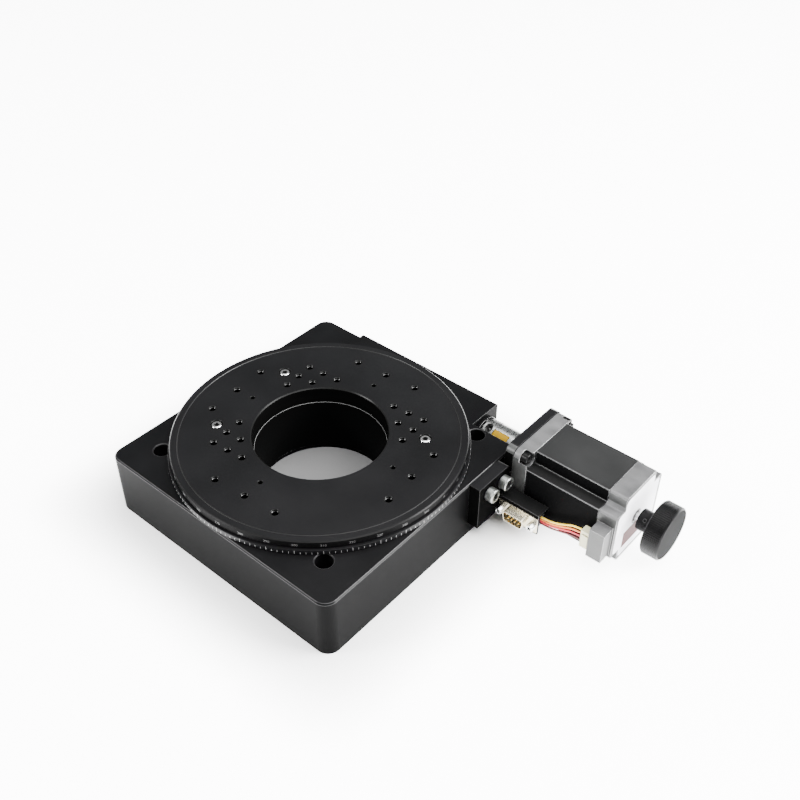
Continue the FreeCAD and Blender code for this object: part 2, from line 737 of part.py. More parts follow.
rearBell = notchedSquare(rearBellX, rearFaceX, rearNotchFillet, rearEdgeFillet)
lugX = rearFaceX - lugSetback - lugLength
lugY = motorSideY - lugDepth
lug = box(lugX, lugX + lugLength, lugY, motorSideY + 1, lugFloor, lugFloor + lugHeight)
rearBell = rearBell.fuse(lug).removeSplitter()
rearBell = rearBell.cut(rodX(motorBearingOuter + seatGap, rearBellX - 1, rearBellX + motorBearingWidth))
rearBell = rearBell.cut(rodX(rearShaftRadius + boreGap, rearBellX, rearFaceX + 1))
for y, z in tiePlaces:
    rearBell = rearBell.cut(rodX(tieScrewHead + faceGap, rearFaceX - tieScrewDepth, rearFaceX + 1, y, z))
plugMiddleZ = lugFloor + plugRise
plugMiddleY = (lugY + motorSideY) / 2
socketHalfY = lugDepth / 2 - socketWall
socketHalfZ = plugHeight / 2 + socketWall
socketHole = box(lugX - 1, lugX + socketDepth, plugMiddleY - socketHalfY, plugMiddleY + socketHalfY,
                 plugMiddleZ - socketHalfZ, plugMiddleZ + socketHalfZ)
rearBell = rearBell.cut(socketHole)
save("motor_rear_bell", rearBell)

# Plug and socket
socket = box(lugX, lugX + socketDepth, plugMiddleY - socketHalfY + faceGap, plugMiddleY + socketHalfY - faceGap,
             plugMiddleZ - socketHalfZ + faceGap, plugMiddleZ + socketHalfZ - faceGap)
plugHalfY = socketHalfY - socketLip
plugHalfZ = plugHeight / 2
inside = box(lugX - 1, lugX + socketDepth - socketBase, plugMiddleY - plugHalfY - faceGap,
             plugMiddleY + plugHalfY + faceGap, plugMiddleZ - plugHalfZ - faceGap, plugMiddleZ + plugHalfZ + faceGap)
socket = socket.cut(inside)
save("motor_socket", socket)
plugX = lugX - plugExposed
plugEnd = lugX + socketDepth - socketBase
plug = box(plugX, plugEnd, plugMiddleY - plugHalfY, plugMiddleY + plugHalfY, plugMiddleZ - plugHalfZ,
           plugMiddleZ + plugHalfZ)
latch = box(plugX + latchFront, lugX - latchHeight, plugMiddleY - plugHalfY - latchHeight,
            plugMiddleY - plugHalfY + sink, plugMiddleZ - latchWidth / 2, plugMiddleZ + latchWidth / 2)
plug = plug.fuse(latch)
for route in leadRoutes.values():
    plug = plug.cut(rodX(leadRadius + seatGap, plugX - 1, plugX + leadIn, route[0][1], route[0][2]))
save("motor_plug", plug)

# Motor bearings, rotor and shaft
saveBearing("motor_bearing_front", frontSeatX, motorBearingOuter, motorBearingWidth, motorBearingWall)
saveBearing("motor_bearing_rear", rearBellX, motorBearingOuter, motorBearingWidth, motorBearingWall)
shaftStep = rearBellX + motorBearingWidth - shaftStepInset
motorShaft = rodX(motorShaftRadius, shaftFrontX, shaftStep)
motorShaft = motorShaft.fuse(rodX(rearShaftRadius, shaftStep, knobHubX + knobShaftIn))
save("motor_shaft", motorShaft)
save("motor_rotor", ringX(motorShaftRadius + seatGap, rotorRadius, stackX + rotorShort, rearBellX - rotorShort))

# Hand knob on the rear shaft
knob = rodX(knobRadius, knobX, knobX + knobLength)
knob = knob.makeChamfer(knobEdge, [edge for edge in knob.Edges if edge.Curve.TypeId == "Part::GeomCircle"])
knob = knob.fuse(rodX(knobHubRadius, knobHubX, knobX + knobEdge)).removeSplitter()
knob = knob.cut(rodX(rearShaftRadius + seatGap, knobHubX - 1, knobHubX + knobShaftIn + 0.5))
save("hand_knob", knob)

# Connector bracket: front plate, top plate and the tab on the foot
connectorTop = connectorFloor + connectorHeight
connectorEnd = footX + connectorWidth
frontPlate = box(footX, connectorEnd, connectorFace, connectorFace + sheet, connectorFloor, connectorTop)
topPlate = box(footX, connectorEnd, connectorFace, motorSideY - sheetGap, connectorTop - sheet, connectorTop)
tab = box(footX, footX + sheet, connectorFace, footBack, connectorFloor, connectorTop)
connectorBracket = frontPlate.fuse(topPlate).fuse(tab).removeSplitter()


def dShape(width, height, y0, y1):
    """The sloped D outline of the connector, extruded along Y."""
    drop = height * math.tan(math.radians(shellSlope))
    corners = [
        at(shellCentreX - width / 2, y0, shellCentreZ + height / 2),
        at(shellCentreX + width / 2, y0, shellCentreZ + height / 2),
        at(shellCentreX + width / 2 - drop, y0, shellCentreZ - height / 2),
        at(shellCentreX - width / 2 + drop, y0, shellCentreZ - height / 2),
    ]
    prism = Part.Face(Part.makePolygon(corners + corners[:1])).extrude(at(0, y1 - y0, 0))
    upright = []
    for edge in prism.Edges:
        if abs(edge.tangentAt(edge.FirstParameter).y) > 0.99:
            upright.append(edge)
    return prism.makeFillet(shellCorner, upright)


flangeY = connectorFace - flangeThickness
shellFront = flangeY - shellLength
connectorBracket = connectorBracket.cut(dShape(shellWidth + mouthMargin, shellHeight + mouthMargin,
                                               connectorFace - 1, connectorFace + sheet + 1))
save("connector_bracket", connectorBracket)
shell = box(shellCentreX - flangeWidth / 2, shellCentreX + flangeWidth / 2, flangeY, connectorFace,
            shellCentreZ - flangeHeight / 2, shellCentreZ + flangeHeight / 2)
shell = shell.fuse(dShape(shellWidth, shellHeight, shellFront, flangeY + sink))
shell = shell.cut(dShape(shellWidth - 2 * shellWall, shellHeight - 2 * shellWall, shellFront - 1,
                         connectorFace + 1))
save("connector_shell", shell)
hoodY = connectorFace + sheet
insertWidth = shellWidth - 2 * shellWall - 2 * faceGap
insertHeight = shellHeight - 2 * shellWall - 2 * faceGap
insertY = flangeY - insertSink
save("connector_insert", dShape(insertWidth, insertHeight, insertY, hoodY))
jacks = []
for x in (shellCentreX - jackSpacing / 2, shellCentreX + jackSpacing / 2):
    jacks.append(hexagon(jackFlats, jackLength, at(x, flangeY - jackLength, shellCentreZ), at(0, 1, 0)))
save("connector_jack_screws", Part.makeCompound(jacks))
hoodX = shellCentreX + jackSpacing / 2 + hoodOverhang - hoodLength
hoodEnd = hoodX + hoodLength
hood = box(hoodX, hoodEnd, hoodY, hoodY + hoodDepth, shellCentreZ - hoodHeight / 2,
           shellCentreZ + hoodHeight / 2)


# Motor leads: four limp wires from the plug to the hood
def tangentPath(points):
    """Straight runs joined by arcs as large as the runs allow."""
    edges = []
    start = points[0]
    radii = []
    for index in range(1, len(points) - 1):
        before, corner, after = points[index - 1], points[index], points[index + 1]
        inward = (corner - before).normalize()
        outward = (after - corner).normalize()
        turn = inward.getAngle(outward)
        shorter = min((corner - before).Length, (after - corner).Length)
        trim = 0.45 * shorter
        radii.append(trim / math.tan(turn / 2))
        arcStart = corner - inward * trim
        arcEnd = corner + outward * trim
        bulge = radii[-1] * (1 / math.cos(turn / 2) - 1)
        arcMiddle = corner + (outward - inward).normalize() * bulge
        edges.append(Part.LineSegment(start, arcStart).toShape())
        edges.append(Part.Arc(arcStart, arcMiddle, arcEnd).toShape())
        start = arcEnd
    edges.append(Part.LineSegment(start, points[-1]).toShape())
    return Part.Wire(edges), radii


for name, route in leadRoutes.items():
    points = [at(*point) for point in route]
    path, radii = tangentPath(points)
    first = path.Edges[0]
    section = Part.Wire(Part.makeCircle(leadRadius, points[0], first.tangentAt(first.FirstParameter)))
    tube = path.makePipeShell([section], True, False)
    expected = path.Length * math.pi * leadRadius ** 2
    print(name, "radii", [round(r, 1) for r in radii], "volume ratio", round(tube.Volume / expected, 3))
    hood = hood.cut(rodX(leadRadius + seatGap, hoodEnd - leadIn, hoodEnd + 1, points[-1].y, points[-1].z))
    save(f"motor_lead_{name}", tube)
save("connector_hood", hood)
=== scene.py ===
import bpy
import bmesh
import json
import math
from mathutils import Matrix, Vector

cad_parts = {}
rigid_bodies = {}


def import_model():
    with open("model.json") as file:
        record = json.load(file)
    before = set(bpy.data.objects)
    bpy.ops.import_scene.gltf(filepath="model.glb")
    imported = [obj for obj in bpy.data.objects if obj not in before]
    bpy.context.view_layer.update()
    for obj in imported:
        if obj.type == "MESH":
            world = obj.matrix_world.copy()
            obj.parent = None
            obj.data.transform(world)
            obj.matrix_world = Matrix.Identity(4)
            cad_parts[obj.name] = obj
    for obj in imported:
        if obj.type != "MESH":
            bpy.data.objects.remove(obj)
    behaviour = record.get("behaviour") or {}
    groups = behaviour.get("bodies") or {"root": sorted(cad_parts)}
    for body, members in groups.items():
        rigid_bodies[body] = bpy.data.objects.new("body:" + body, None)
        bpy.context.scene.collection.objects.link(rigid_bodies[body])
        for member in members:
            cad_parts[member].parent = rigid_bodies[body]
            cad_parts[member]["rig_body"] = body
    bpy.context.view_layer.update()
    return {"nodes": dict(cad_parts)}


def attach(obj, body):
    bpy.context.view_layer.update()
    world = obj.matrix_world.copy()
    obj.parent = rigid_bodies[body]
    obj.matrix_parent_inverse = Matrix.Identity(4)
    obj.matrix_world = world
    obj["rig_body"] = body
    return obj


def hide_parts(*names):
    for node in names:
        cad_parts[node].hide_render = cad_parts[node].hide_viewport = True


# A motorized rotary stage, dressed for a studio picture. Metres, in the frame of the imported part.
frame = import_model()
nodes = frame["nodes"]
scene = bpy.context.scene
mm = 0.001
print("frame loaded:", len(nodes), "nodes")

# Camera at the photograph's angle
camera = {
    "azimuth": 40.295,
    "elevation": 39.665,
    "roll": 0.370,
    "lens": 46.054,
    "sensor": 36.0,
    "clip": (0.01, 50.0),   # in metres
    "slideRight": -53.85,   # of the sight line from the origin, in millimetres
    "slideUp": -63.98,
    "distance": 722.1,
}


def makeCamera():
    a = math.radians(camera["azimuth"])
    e = math.radians(camera["elevation"])
    r = math.radians(camera["roll"])
    back = Vector((math.sin(a) * math.cos(e), -math.cos(a) * math.cos(e), math.sin(e)))
    level = Vector((math.cos(a), math.sin(a), 0))
    rise = back.cross(level)
    right = level * math.cos(r) + rise * math.sin(r)
    up = rise * math.cos(r) - level * math.sin(r)
    spot = back * camera["distance"] - right * camera["slideRight"] - up * camera["slideUp"]
    data = bpy.data.cameras.new("photoCamera")
    data.lens = camera["lens"]
    data.sensor_width = camera["sensor"]
    data.clip_start, data.clip_end = camera["clip"]
    shot = bpy.data.objects.new("photoCamera", data)
    turn = Matrix((right, up, back)).transposed().to_4x4()
    shot.matrix_world = Matrix.Translation(spot * mm) @ turn
    scene.collection.objects.link(shot)
    scene.camera = shot


makeCamera()

# Places that several pieces share, in millimetres
places = {
    "axisY": 96.0,          # worm and motor axis
    "axisZ": 28.6,
    "tableTurn": 5.0,       # degrees that the table stands turned
    "tableTop": 56.0,
    "tableBottom": 50.0,
}


# Materials
def startMaterial(name, base, roughness, metallic=0.0, sheen=0.5):
    material = bpy.data.materials.new(name)
    material.use_nodes = True
    tree = material.node_tree
    shader = tree.nodes["Principled BSDF"]
    shader.inputs["Base Color"].default_value = (*base, 1)
    shader.inputs["Roughness"].default_value = roughness
    shader.inputs["Metallic"].default_value = metallic
    shader.inputs["Specular IOR Level"].default_value = sheen
    where = tree.nodes.new("ShaderNodeTexCoord")
    return material, tree, shader, where.outputs["Object"]


def addNoise(tree, where, scale, stretch=(1, 1, 1), detail=4.0):
    mapping = tree.nodes.new("ShaderNodeMapping")
    mapping.inputs["Scale"].default_value = stretch
    tree.links.new(where, mapping.inputs["Vector"])
    noise = tree.nodes.new("ShaderNodeTexNoise")
    noise.inputs["Scale"].default_value = scale
    noise.inputs["Detail"].default_value = detail
    tree.links.new(mapping.outputs["Vector"], noise.inputs["Vector"])
    return noise.outputs["Fac"]


def mixColours(tree, factor, first, second):
    mix = tree.nodes.new("ShaderNodeMix")
    mix.data_type = "RGBA"
    tree.links.new(factor, mix.inputs["Factor"])
    for socket, value in ((mix.inputs["A"], first), (mix.inputs["B"], second)):
        if isinstance(value, tuple):
            socket.default_value = (*value, 1)
        else:
            tree.links.new(value, socket)
    return mix.outputs["Result"]


def remap(tree, value, low, high, toLow, toHigh, smooth=False):
    node = tree.nodes.new("ShaderNodeMapRange")
    if smooth:
        node.interpolation_type = "SMOOTHSTEP"
    node.inputs["From Min"].default_value = low
    node.inputs["From Max"].default_value = high
    node.inputs["To Min"].default_value = toLow
    node.inputs["To Max"].default_value = toHigh
    tree.links.new(value, node.inputs["Value"])
    return node.outputs["Result"]


def doMath(tree, operation, first, second=None, third=None):
    node = tree.nodes.new("ShaderNodeMath")
    node.operation = operation
    for index, value in enumerate((first, second, third)):
        if value is None:
            continue
        if isinstance(value, (int, float)):
            node.inputs[index].default_value = value
        else:
            tree.links.new(value, node.inputs[index])
    return node.outputs["Value"]


def spread(tree, noise, toLow=0, toHigh=1):
    # a noise seldom leaves the middle of its range, so that part is stretched over the wanted one
    return remap(tree, noise, 0.3, 0.7, toLow, toHigh)


def splitAxes(tree, where):
    split = tree.nodes.new("ShaderNodeSeparateXYZ")
    tree.links.new(where, split.inputs["Vector"])
    return split.outputs


def fromAxis(tree, axes):
    # how far a place lies from the table's axis
    across = doMath(tree, "MULTIPLY", axes["Y"], axes["Y"])
    return doMath(tree, "SQRT", doMath(tree, "MULTIPLY_ADD", axes["X"], axes["X"], across))


def between(tree, value, limits):
    # 1 where a value lies between two limits in millimetres, else 0
    above = doMath(tree, "GREATER_THAN", value, limits[0] * mm)
    below = doMath(tree, "LESS_THAN", value, limits[1] * mm)
    return doMath(tree, "MULTIPLY", above, below)


def addBump(tree, shader, height, strength, distance):
    bump = tree.nodes.new("ShaderNodeBump")
    bump.inputs["Strength"].default_value = strength
    bump.inputs["Distance"].default_value = distance
    tree.links.new(height, bump.inputs["Height"])
    tree.links.new(bump.outputs["Normal"], shader.inputs["Normal"])


def anodised(name, base=(0.004, 0.004, 0.0043), roughness=0.3, grain=2600, sheen=0.1):
    # dyed aluminium: even colour, fine bead-blast grain and a slightly uneven gloss
    material, tree, shader, where = startMaterial(name, base, roughness, sheen=sheen)
    blotch = addNoise(tree, where, 22)
    fine = addNoise(tree, where, grain, detail=2)
    colour = mixColours(tree, spread(tree, blotch), tuple(c * 0.8 for c in base),
                        tuple(c * 1.25 for c in base))
    tree.links.new(colour, shader.inputs["Base Color"])
    tree.links.new(spread(tree, blotch, roughness - 0.05, roughness + 0.05), shader.inputs["Roughness"])
    addBump(tree, shader, fine, 0.12, 0.00002)
    return material


def machined(name, base=(0.62, 0.62, 0.63), roughness=0.34, scale=900, stretch=(1, 1, 1), depth=0.15):
    # bare metal with fine tool marks, drawn out along the axis whose stretch is smallest
    material, tree, shader, where = startMaterial(name, base, roughness, 1.0)
    marks = addNoise(tree, where, scale, stretch, 3)
    stain = addNoise(tree, where, 60)
    colour = mixColours(tree, spread(tree, stain), tuple(c * 0.88 for c in base), base)
    tree.links.new(colour, shader.inputs["Base Color"])
    tree.links.new(spread(tree, marks, roughness - 0.08, roughness + 0.1), shader.inputs["Roughness"])
    addBump(tree, shader, marks, depth, 0.00003)
    return material


def moulded(name, base, roughness=0.45, grain=1400, sheen=0.5):
    material, tree, shader, where = startMaterial(name, base, roughness, sheen=sheen)
    shade = addNoise(tree, where, 90)
    fine = addNoise(tree, where, grain, detail=2)
    colour = mixColours(tree, spread(tree, shade), tuple(c * 0.85 for c in base), base)
    tree.links.new(colour, shader.inputs["Base Color"])
    addBump(tree, shader, fine, 0.2, 0.00003)
    return material


def blasted(name, dark, light):
    # die-cast aluminium, bead-blasted: cloudy tone, coarse speckle and a soft metal gloss
    material, tree, shader, where = startMaterial(name, light, 0.42, 0.3)
    cloud = addNoise(tree, where, 110, (0.5, 1, 1), 5)
    speck = addNoise(tree, where, 2200, detail=2)
    both = doMath(tree, "MULTIPLY_ADD", speck, 0.35, doMath(tree, "MULTIPLY", cloud, 0.65))
    colour = mixColours(tree, remap(tree, both, 0.35, 0.65, 0, 1), dark, light)
    tree.links.new(colour, shader.inputs["Base Color"])
    tree.links.new(spread(tree, cloud, 0.36, 0.5), shader.inputs["Roughness"])
    addBump(tree, shader, speck, 0.25, 0.00003)
    return material


def turnedBlack(name):
    # anodised disc whose top keeps the lathe's fine rings about the table's axis
    material, tree, shader, where = startMaterial(name, (0.02, 0.02, 0.021), 0.4, sheen=0.12)
    rings = tree.nodes.new("ShaderNodeTexNoise")
    rings.noise_dimensions = "1D"
    rings.inputs["Scale"].default_value = 2600
    rings.inputs["Detail"].default_value = 3
    tree.links.new(fromAxis(tree, splitAxes(tree, where)), rings.inputs["W"])
    blotch = addNoise(tree, where, 18)
    colour = mixColours(tree, spread(tree, blotch), (0.0028, 0.0028, 0.003), (0.0042, 0.0042, 0.0045))
    tree.links.new(colour, shader.inputs["Base Color"])
    tree.links.new(spread(tree, blotch, 0.3, 0.38), shader.inputs["Roughness"])
    addBump(tree, shader, rings.outputs["Fac"], 0.1, 0.00002)
    return material


black = anodised("blackAnodised", (0.0025, 0.0025, 0.0027))
# painted shade: darker, duller copies of a material for upright faces
blackShadedFlank = anodised("blackShadedFlank", (0.002, 0.002, 0.0021), 0.34, sheen=0.014)
# painted highlights: lighter copies for softened edges, whose extra gloss is the shader's own
edgeBlack = anodised("blackEdgeHighlight", (0.03, 0.03, 0.031), 0.26, 2600, 0.8)
edgeBase = anodised("baseEdgeHighlight", (0.014, 0.014, 0.0142), 0.3, 2600, 0.22)
edgeBracket = anodised("bracketEdgeHighlight", (0.01, 0.01, 0.01), 0.34, 2600, 0.12)
# painted highlight: a lighter copy for the bracket's rounded corners and slopes
cornerBlack = anodised("bracketCornerHighlight", (0.022, 0.0225, 0.022), 0.36, 2200, 0.4)
# painted highlight: a slightly lighter copy for the table's chamfers
edgeTable = anodised("tableChamferHighlight", (0.006, 0.006, 0.006), 0.3, 2600, 0.06)
blackTurned = turnedBlack("blackTurnedTable")
# painted shade: a darker copy for the walls inside the table's bore and holes
blackWell = anodised("blackBore", (0.0015, 0.0015, 0.0015), 0.5, sheen=0.01)
bracketBlack = anodised("bracketBlack", (0.004, 0.004, 0.0043), 0.33)
# painted shade: a darker copy for the bracket's upright faces
bracketShadedFlank = anodised("bracketShadedFlank", (0.0011, 0.0011, 0.0011), 0.5, sheen=0.004)
laminated = anodised("blackLaminations", (0.009, 0.0092, 0.0092), 0.36, 1800, 0.2)
# painted shade: a darker copy for the floors of the stack's corner notches
laminatedNotch = anodised("blackLaminationNotchShade", (0.005, 0.005, 0.005), 0.36, 1800, 0.1)
# painted shade: a darker copy for the stack's sides
laminatedFlank = anodised("blackLaminationShadedFlank", (0.002, 0.002, 0.0021), 0.4, 1800, 0.006)
sheetBlack = anodised("blackSheet", (0.005, 0.005, 0.005), 0.4)
knobBlack = anodised("knobBlack", (0.002, 0.002, 0.0021), 0.28, sheen=0.06)
# painted light: a lighter, matter copy of the knob's black for its end face
knobFace = anodised("knobFaceLight", (0.004, 0.004, 0.0041), 0.6, 1400, 0.01)
screwBlack = anodised("screwBlack", (0.003, 0.003, 0.003), 0.25, 2200, 0.12)
castBell = blasted("blastedBell", (0.05, 0.05, 0.051), (0.095, 0.095, 0.096))
# painted shade: a darker copy for the bells' upright faces
castFlank = blasted("blastedShadedFlank", (0.018, 0.0185, 0.018), (0.034, 0.035, 0.034))
# painted highlight: lighter metal on the bells' softened edges
castEdge = machined("blastedBellEdgeHighlight", (0.2, 0.2, 0.2), 0.3, 1500)
threadSteel = machined("tappedThread", (0.022, 0.022, 0.022), 0.25, 1500, depth=0.05)
# painted highlight: a lighter copy for the table's groove
grooveHighlight = anodised("tableGrooveHighlight", (0.014, 0.014, 0.014), 0.34, 2600, 0.2)
socketShade = anodised("socketShade", (0.01, 0.01, 0.01), 0.5, sheen=0.1)
brightSteel = machined("groundSteel", (0.6, 0.6, 0.6), 0.25, 1200, (1, 0.2, 0.2))
plated = machined("platedScrew", (0.78, 0.78, 0.77), 0.2, 1600, depth=0.08)
zincGrey = machined("zincScrew", (0.24, 0.25, 0.24), 0.36, 1600, depth=0.08)
hubSilver = machined("couplingAluminium", (0.36, 0.365, 0.36), 0.26, 4200, (1, 0.1, 0.1), 0.05)
bronze = machined("hobbedBronze", (0.6, 0.36, 0.16), 0.35)
shellPlate = machined("connectorPlating", (0.78, 0.72, 0.56), 0.25, 1500, depth=0.1)
pinGold = machined("pinGold", (0.85, 0.62, 0.25), 0.22, 2000, depth=0.05)
blackOxide = machined("blackOxide", (0.05, 0.05, 0.05), 0.35, 1500, depth=0.1)
spiderYellow = moulded("spiderYellow", (0.2, 0.115, 0.001), 0.4, sheen=0.1)
plugWhite = moulded("plugWhite", (0.5, 0.48, 0.3), 0.42)
plasticBlack = moulded("plasticBlack", (0.02, 0.02, 0.02), 0.4)
markWhite = moulded("markWhite", (0.4, 0.4, 0.4), 0.6)
numberGrey = moulded("numberGrey", (0.05, 0.05, 0.05), 0.6)
leadPaints = {
    "red": moulded("leadRed", (0.55, 0.03, 0.05), 0.42),
    "orange": moulded("leadOrange", (0.75, 0.2, 0.04), 0.42),
    "yellow": moulded("leadYellow", (0.8, 0.55, 0.06), 0.42),
    "brown": moulded("leadBrown", (0.12, 0.03, 0.03), 0.42),
}
print("materials made:", len(bpy.data.materials))


# Mesh tools
def merge(target, source, place=None):
    # adds one bmesh to another and frees it
    mesh = bpy.data.meshes.new("part")
    source.to_mesh(mesh)
    source.free()
    if place is not None:
        mesh.transform(place)
    target.from_mesh(mesh)
    bpy.data.meshes.remove(mesh)


def at(x, y, z=0.0):
    # a place in millimetres
    return Matrix.Translation(Vector((x, y, z)) * mm)


def block(size):
    # turns a cube of size 1 into a box of a size in millimetres
    return Matrix.Diagonal((*(Vector(size) * mm), 1))


def onAxisX(x, y=None, z=None):
    # local Z runs along +X, on the worm axis unless y and z say otherwise
    y = places["axisY"] if y is None else y
    z = places["axisZ"] if z is None else z
    return at(x, y, z) @ Matrix.Rotation(math.radians(90), 4, "Y")


def facing(spot, direction, spin=0.0):
    # local Z runs along the direction, from a spot in millimetres
    turn = Vector(direction).to_track_quat("Z", "Y").to_matrix().to_4x4()
    return at(*spot) @ turn @ Matrix.Rotation(math.radians(spin), 4, "Z")


def lathe(profile, steps=128):
    # spins a closed profile of (radius, height) in millimetres about local Z
    bm = bmesh.new()
    verts = [bm.verts.new((radius * mm, 0, height * mm)) for radius, height in profile]
    edges = [bm.edges.new((verts[i], verts[(i + 1) % len(verts)])) for i in range(len(verts))]
    bmesh.ops.spin(bm, geom=verts + edges, cent=(0, 0, 0), axis=(0, 0, 1), dvec=(0, 0, 0),
                   angle=math.radians(360), steps=steps, use_merge=True)
    bmesh.ops.remove_doubles(bm, verts=bm.verts, dist=1e-7)
    return bm


def roundOutline(radius):
    return lambda angle: radius


def hexOutline(flats):
    sixth = math.radians(60)
    return lambda angle: flats / 2 / math.cos((angle + sixth / 2) % sixth - sixth / 2)


def knurlOutline(radius, depth, ridges):
    return lambda angle: radius - depth * (0.5 - 0.5 * math.cos(ridges * angle))


def column(sections, corners=48, hollow=False):
    # a closed skin through sections of (height, outline), each outline giving a radius for an angle
    # a hollow one joins its last section to its first
    bm = bmesh.new()
    made = bmesh.ops.create_circle(bm, segments=corners, radius=1, cap_ends=False)
    ring = made["verts"]
    edges = list(bm.edges)
    for step, (height, outline) in enumerate(sections):
        if step:
            made = bmesh.ops.extrude_edge_only(bm, edges=edges)
            ring = [part for part in made["geom"] if isinstance(part, bmesh.types.BMVert)]
            edges = [part for part in made["geom"] if isinstance(part, bmesh.types.BMEdge)
                     and all(vert in ring for vert in part.verts)]
        for vert in ring:
            angle = math.atan2(vert.co.y, vert.co.x)
            reach = outline(angle) * mm
            vert.co = (reach * math.cos(angle), reach * math.sin(angle), height * mm)
    ends = [edge for edge in bm.edges if len(edge.link_faces) == 1]
    if hollow:
        bmesh.ops.bridge_loops(bm, edges=ends)
    else:
        bmesh.ops.edgeloop_fill(bm, edges=ends)
    return bm


def tube(outer, inner, start, end, edge=0.0, steps=64):
    # a plain ring along local Z with small bevels
    return lathe([(inner, start), (outer - edge, start), (outer, start + edge), (outer, end - edge),
                  (outer - edge, end), (inner, end)], steps)


def linkPiece(name, mesh, body, replaced=()):
    piece = bpy.data.objects.new(name, mesh)
    scene.collection.objects.link(piece)
    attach(piece, body)
    if replaced:
        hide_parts(*replaced)
    return piece


def finishMesh(bm, name, materials, body, replaced=(), sharp=32):
    bmesh.ops.recalc_face_normals(bm, faces=bm.faces)
    mesh = bpy.data.meshes.new(name)
    bm.to_mesh(mesh)
    bm.free()
    mesh.shade_smooth()
    mesh.set_sharp_from_angle(angle=math.radians(sharp))
    for material in materials:
        mesh.materials.append(material)
    return linkPiece(name, mesh, body, replaced)


def subtract(mesh, cutter):
    # takes a cutter's shape out of a mesh and gives the mesh that is left
    bmesh.ops.recalc_face_normals(cutter, faces=cutter.faces)
    tool = bpy.data.meshes.new("cutter")
    cutter.to_mesh(tool)
    cutter.free()
    blank = bpy.data.objects.new("blank", mesh)
    drill = bpy.data.objects.new("drill", tool)
    scene.collection.objects.link(blank)
    scene.collection.objects.link(drill)
    cut = blank.modifiers.new("cut", "BOOLEAN")
    cut.operation = "DIFFERENCE"
    cut.solver = "EXACT"
    cut.object = drill
    bpy.context.view_layer.update()
    left = bpy.data.meshes.new_from_object(blank.evaluated_get(bpy.context.evaluated_depsgraph_get()))
    left.name = mesh.name
    bpy.data.objects.remove(blank)
    bpy.data.objects.remove(drill)
    return left


def mergeShortEdges(mesh, least):
    bm = bmesh.new()
    bm.from_mesh(mesh)
    bmesh.ops.dissolve_degenerate(bm, dist=least * mm, edges=bm.edges)
    bm.to_mesh(mesh)
    bm.free()


# Copies of CAD nodes with softened edges
dressing = {
    "bevelAngle": 35,       # degrees, of the edges that are softened
    "shortEdge": 0.15,      # merged after a cut, in millimetres
    "upright": 0.3,         # a face leans less than this
    "level": 0.98,          # and a flat one more than this
}


def dressNode(node, material, width=0.25, edge=None, flank=None, slope=None, cutter=None, clamp=True):
    # its flat faces are joined and its edges catch the light
    # the softened strips and slopes may get lighter copies as painted highlights, and upright faces darker
    # copies as painted shade, each with a gloss of its own
    # the clamp narrows every strip of a piece to suit its shortest edge
    bm = bmesh.new()
    bm.from_mesh(nodes[node].data)
    bmesh.ops.remove_doubles(bm, verts=bm.verts, dist=1e-6)
    bmesh.ops.dissolve_limit(bm, angle_limit=math.radians(1), verts=bm.verts, edges=bm.edges,
                             use_dissolve_boundaries=False, delimit=set())
    mesh = bpy.data.meshes.new(node + "_dressed")
    bm.to_mesh(mesh)
    bm.free()
    if cutter:
        mesh = subtract(mesh, cutter)
        mergeShortEdges(mesh, dressing["shortEdge"])
    mesh.shade_smooth()
    mesh.set_sharp_from_angle(angle=math.radians(30))
    mesh.materials.clear()
    for part in (material, edge or material, flank or material, slope or material):
        mesh.materials.append(part)
    for face in mesh.polygons:
        lean = abs(face.normal.z)
        face.material_index = 2 if lean < dressing["upright"] else 3 if lean < dressing["level"] else 0
    piece = linkPiece(node + "_dressed", mesh, nodes[node]["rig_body"], [node])
    bevel = piece.modifiers.new("softEdges", "BEVEL")
    bevel.width = width * mm
    bevel.segments = 2
    bevel.limit_method = "ANGLE"
    bevel.angle_limit = math.radians(dressing["bevelAngle"])
    bevel.use_clamp_overlap = clamp
    if edge:
        bevel.material = 1
    even = piece.modifiers.new("evenShading", "WEIGHTED_NORMAL")
    even.keep_sharp = False
    return piece


def paintNode(node, material):
    mesh = nodes[node].data
    mesh.materials.clear()
    mesh.materials.append(material)


# Screws: radius of the shank and of the head, height of the head, socket across its flats, length under the
# head, and for some the ridges on the head and their depth
screws = {
    "table": (2.0, 3.5, 4.0, 3.0, 8.0),
    "foot": (2.5, 5.0, 6.0, 5.0, 20.5, 28, 0.1),
    "flange": (2.0, 3.75, 5.2, 3.0, 8.0),
    "tie": (1.5, 2.6, 2.0, 2.5, 5.0, 18),
    "small": (1.5, 2.75, 2.4, 2.0, 3.0, 20),
    "endCap": (1.25, 2.25, 1.3, 1.5, 2.0, 18),
    "clamp": (1.5, 2.6, 2.2, 2.5, 1.0, 18),
    "set": (1.2, 1.45, 0.9, 1.5, 1.0, 12),
}


def capScrew(shank, head, height, socket, length, ridges=24, depth=0.08):
    # along local Z, with the head's seat at zero and the shank below it
    edge = head * 0.08
    corners = ridges * 4
    knurl = knurlOutline(head, depth, ridges)
    bm = column([
        (-length, roundOutline(shank * 0.8)),
        (-length + 0.4, roundOutline(shank)),
        (0, roundOutline(shank)),
        (0, roundOutline(head - edge)),
        (edge, knurl),
        (height - edge * 1.5, knurl),
        (height - edge * 0.4, roundOutline(head - edge)),
        (height, roundOutline(head - edge * 1.8)),
        (height, roundOutline(socket * 0.62)),
        (height - 0.25, hexOutline(socket)),
        (height * 0.45, hexOutline(socket)),
    ], corners)
    for face in bm.faces:
        middle = face.calc_center_median()
        if middle.z > 0 and middle.xy.length < socket * 0.585 * mm:
            face.material_index = 1
    return bm


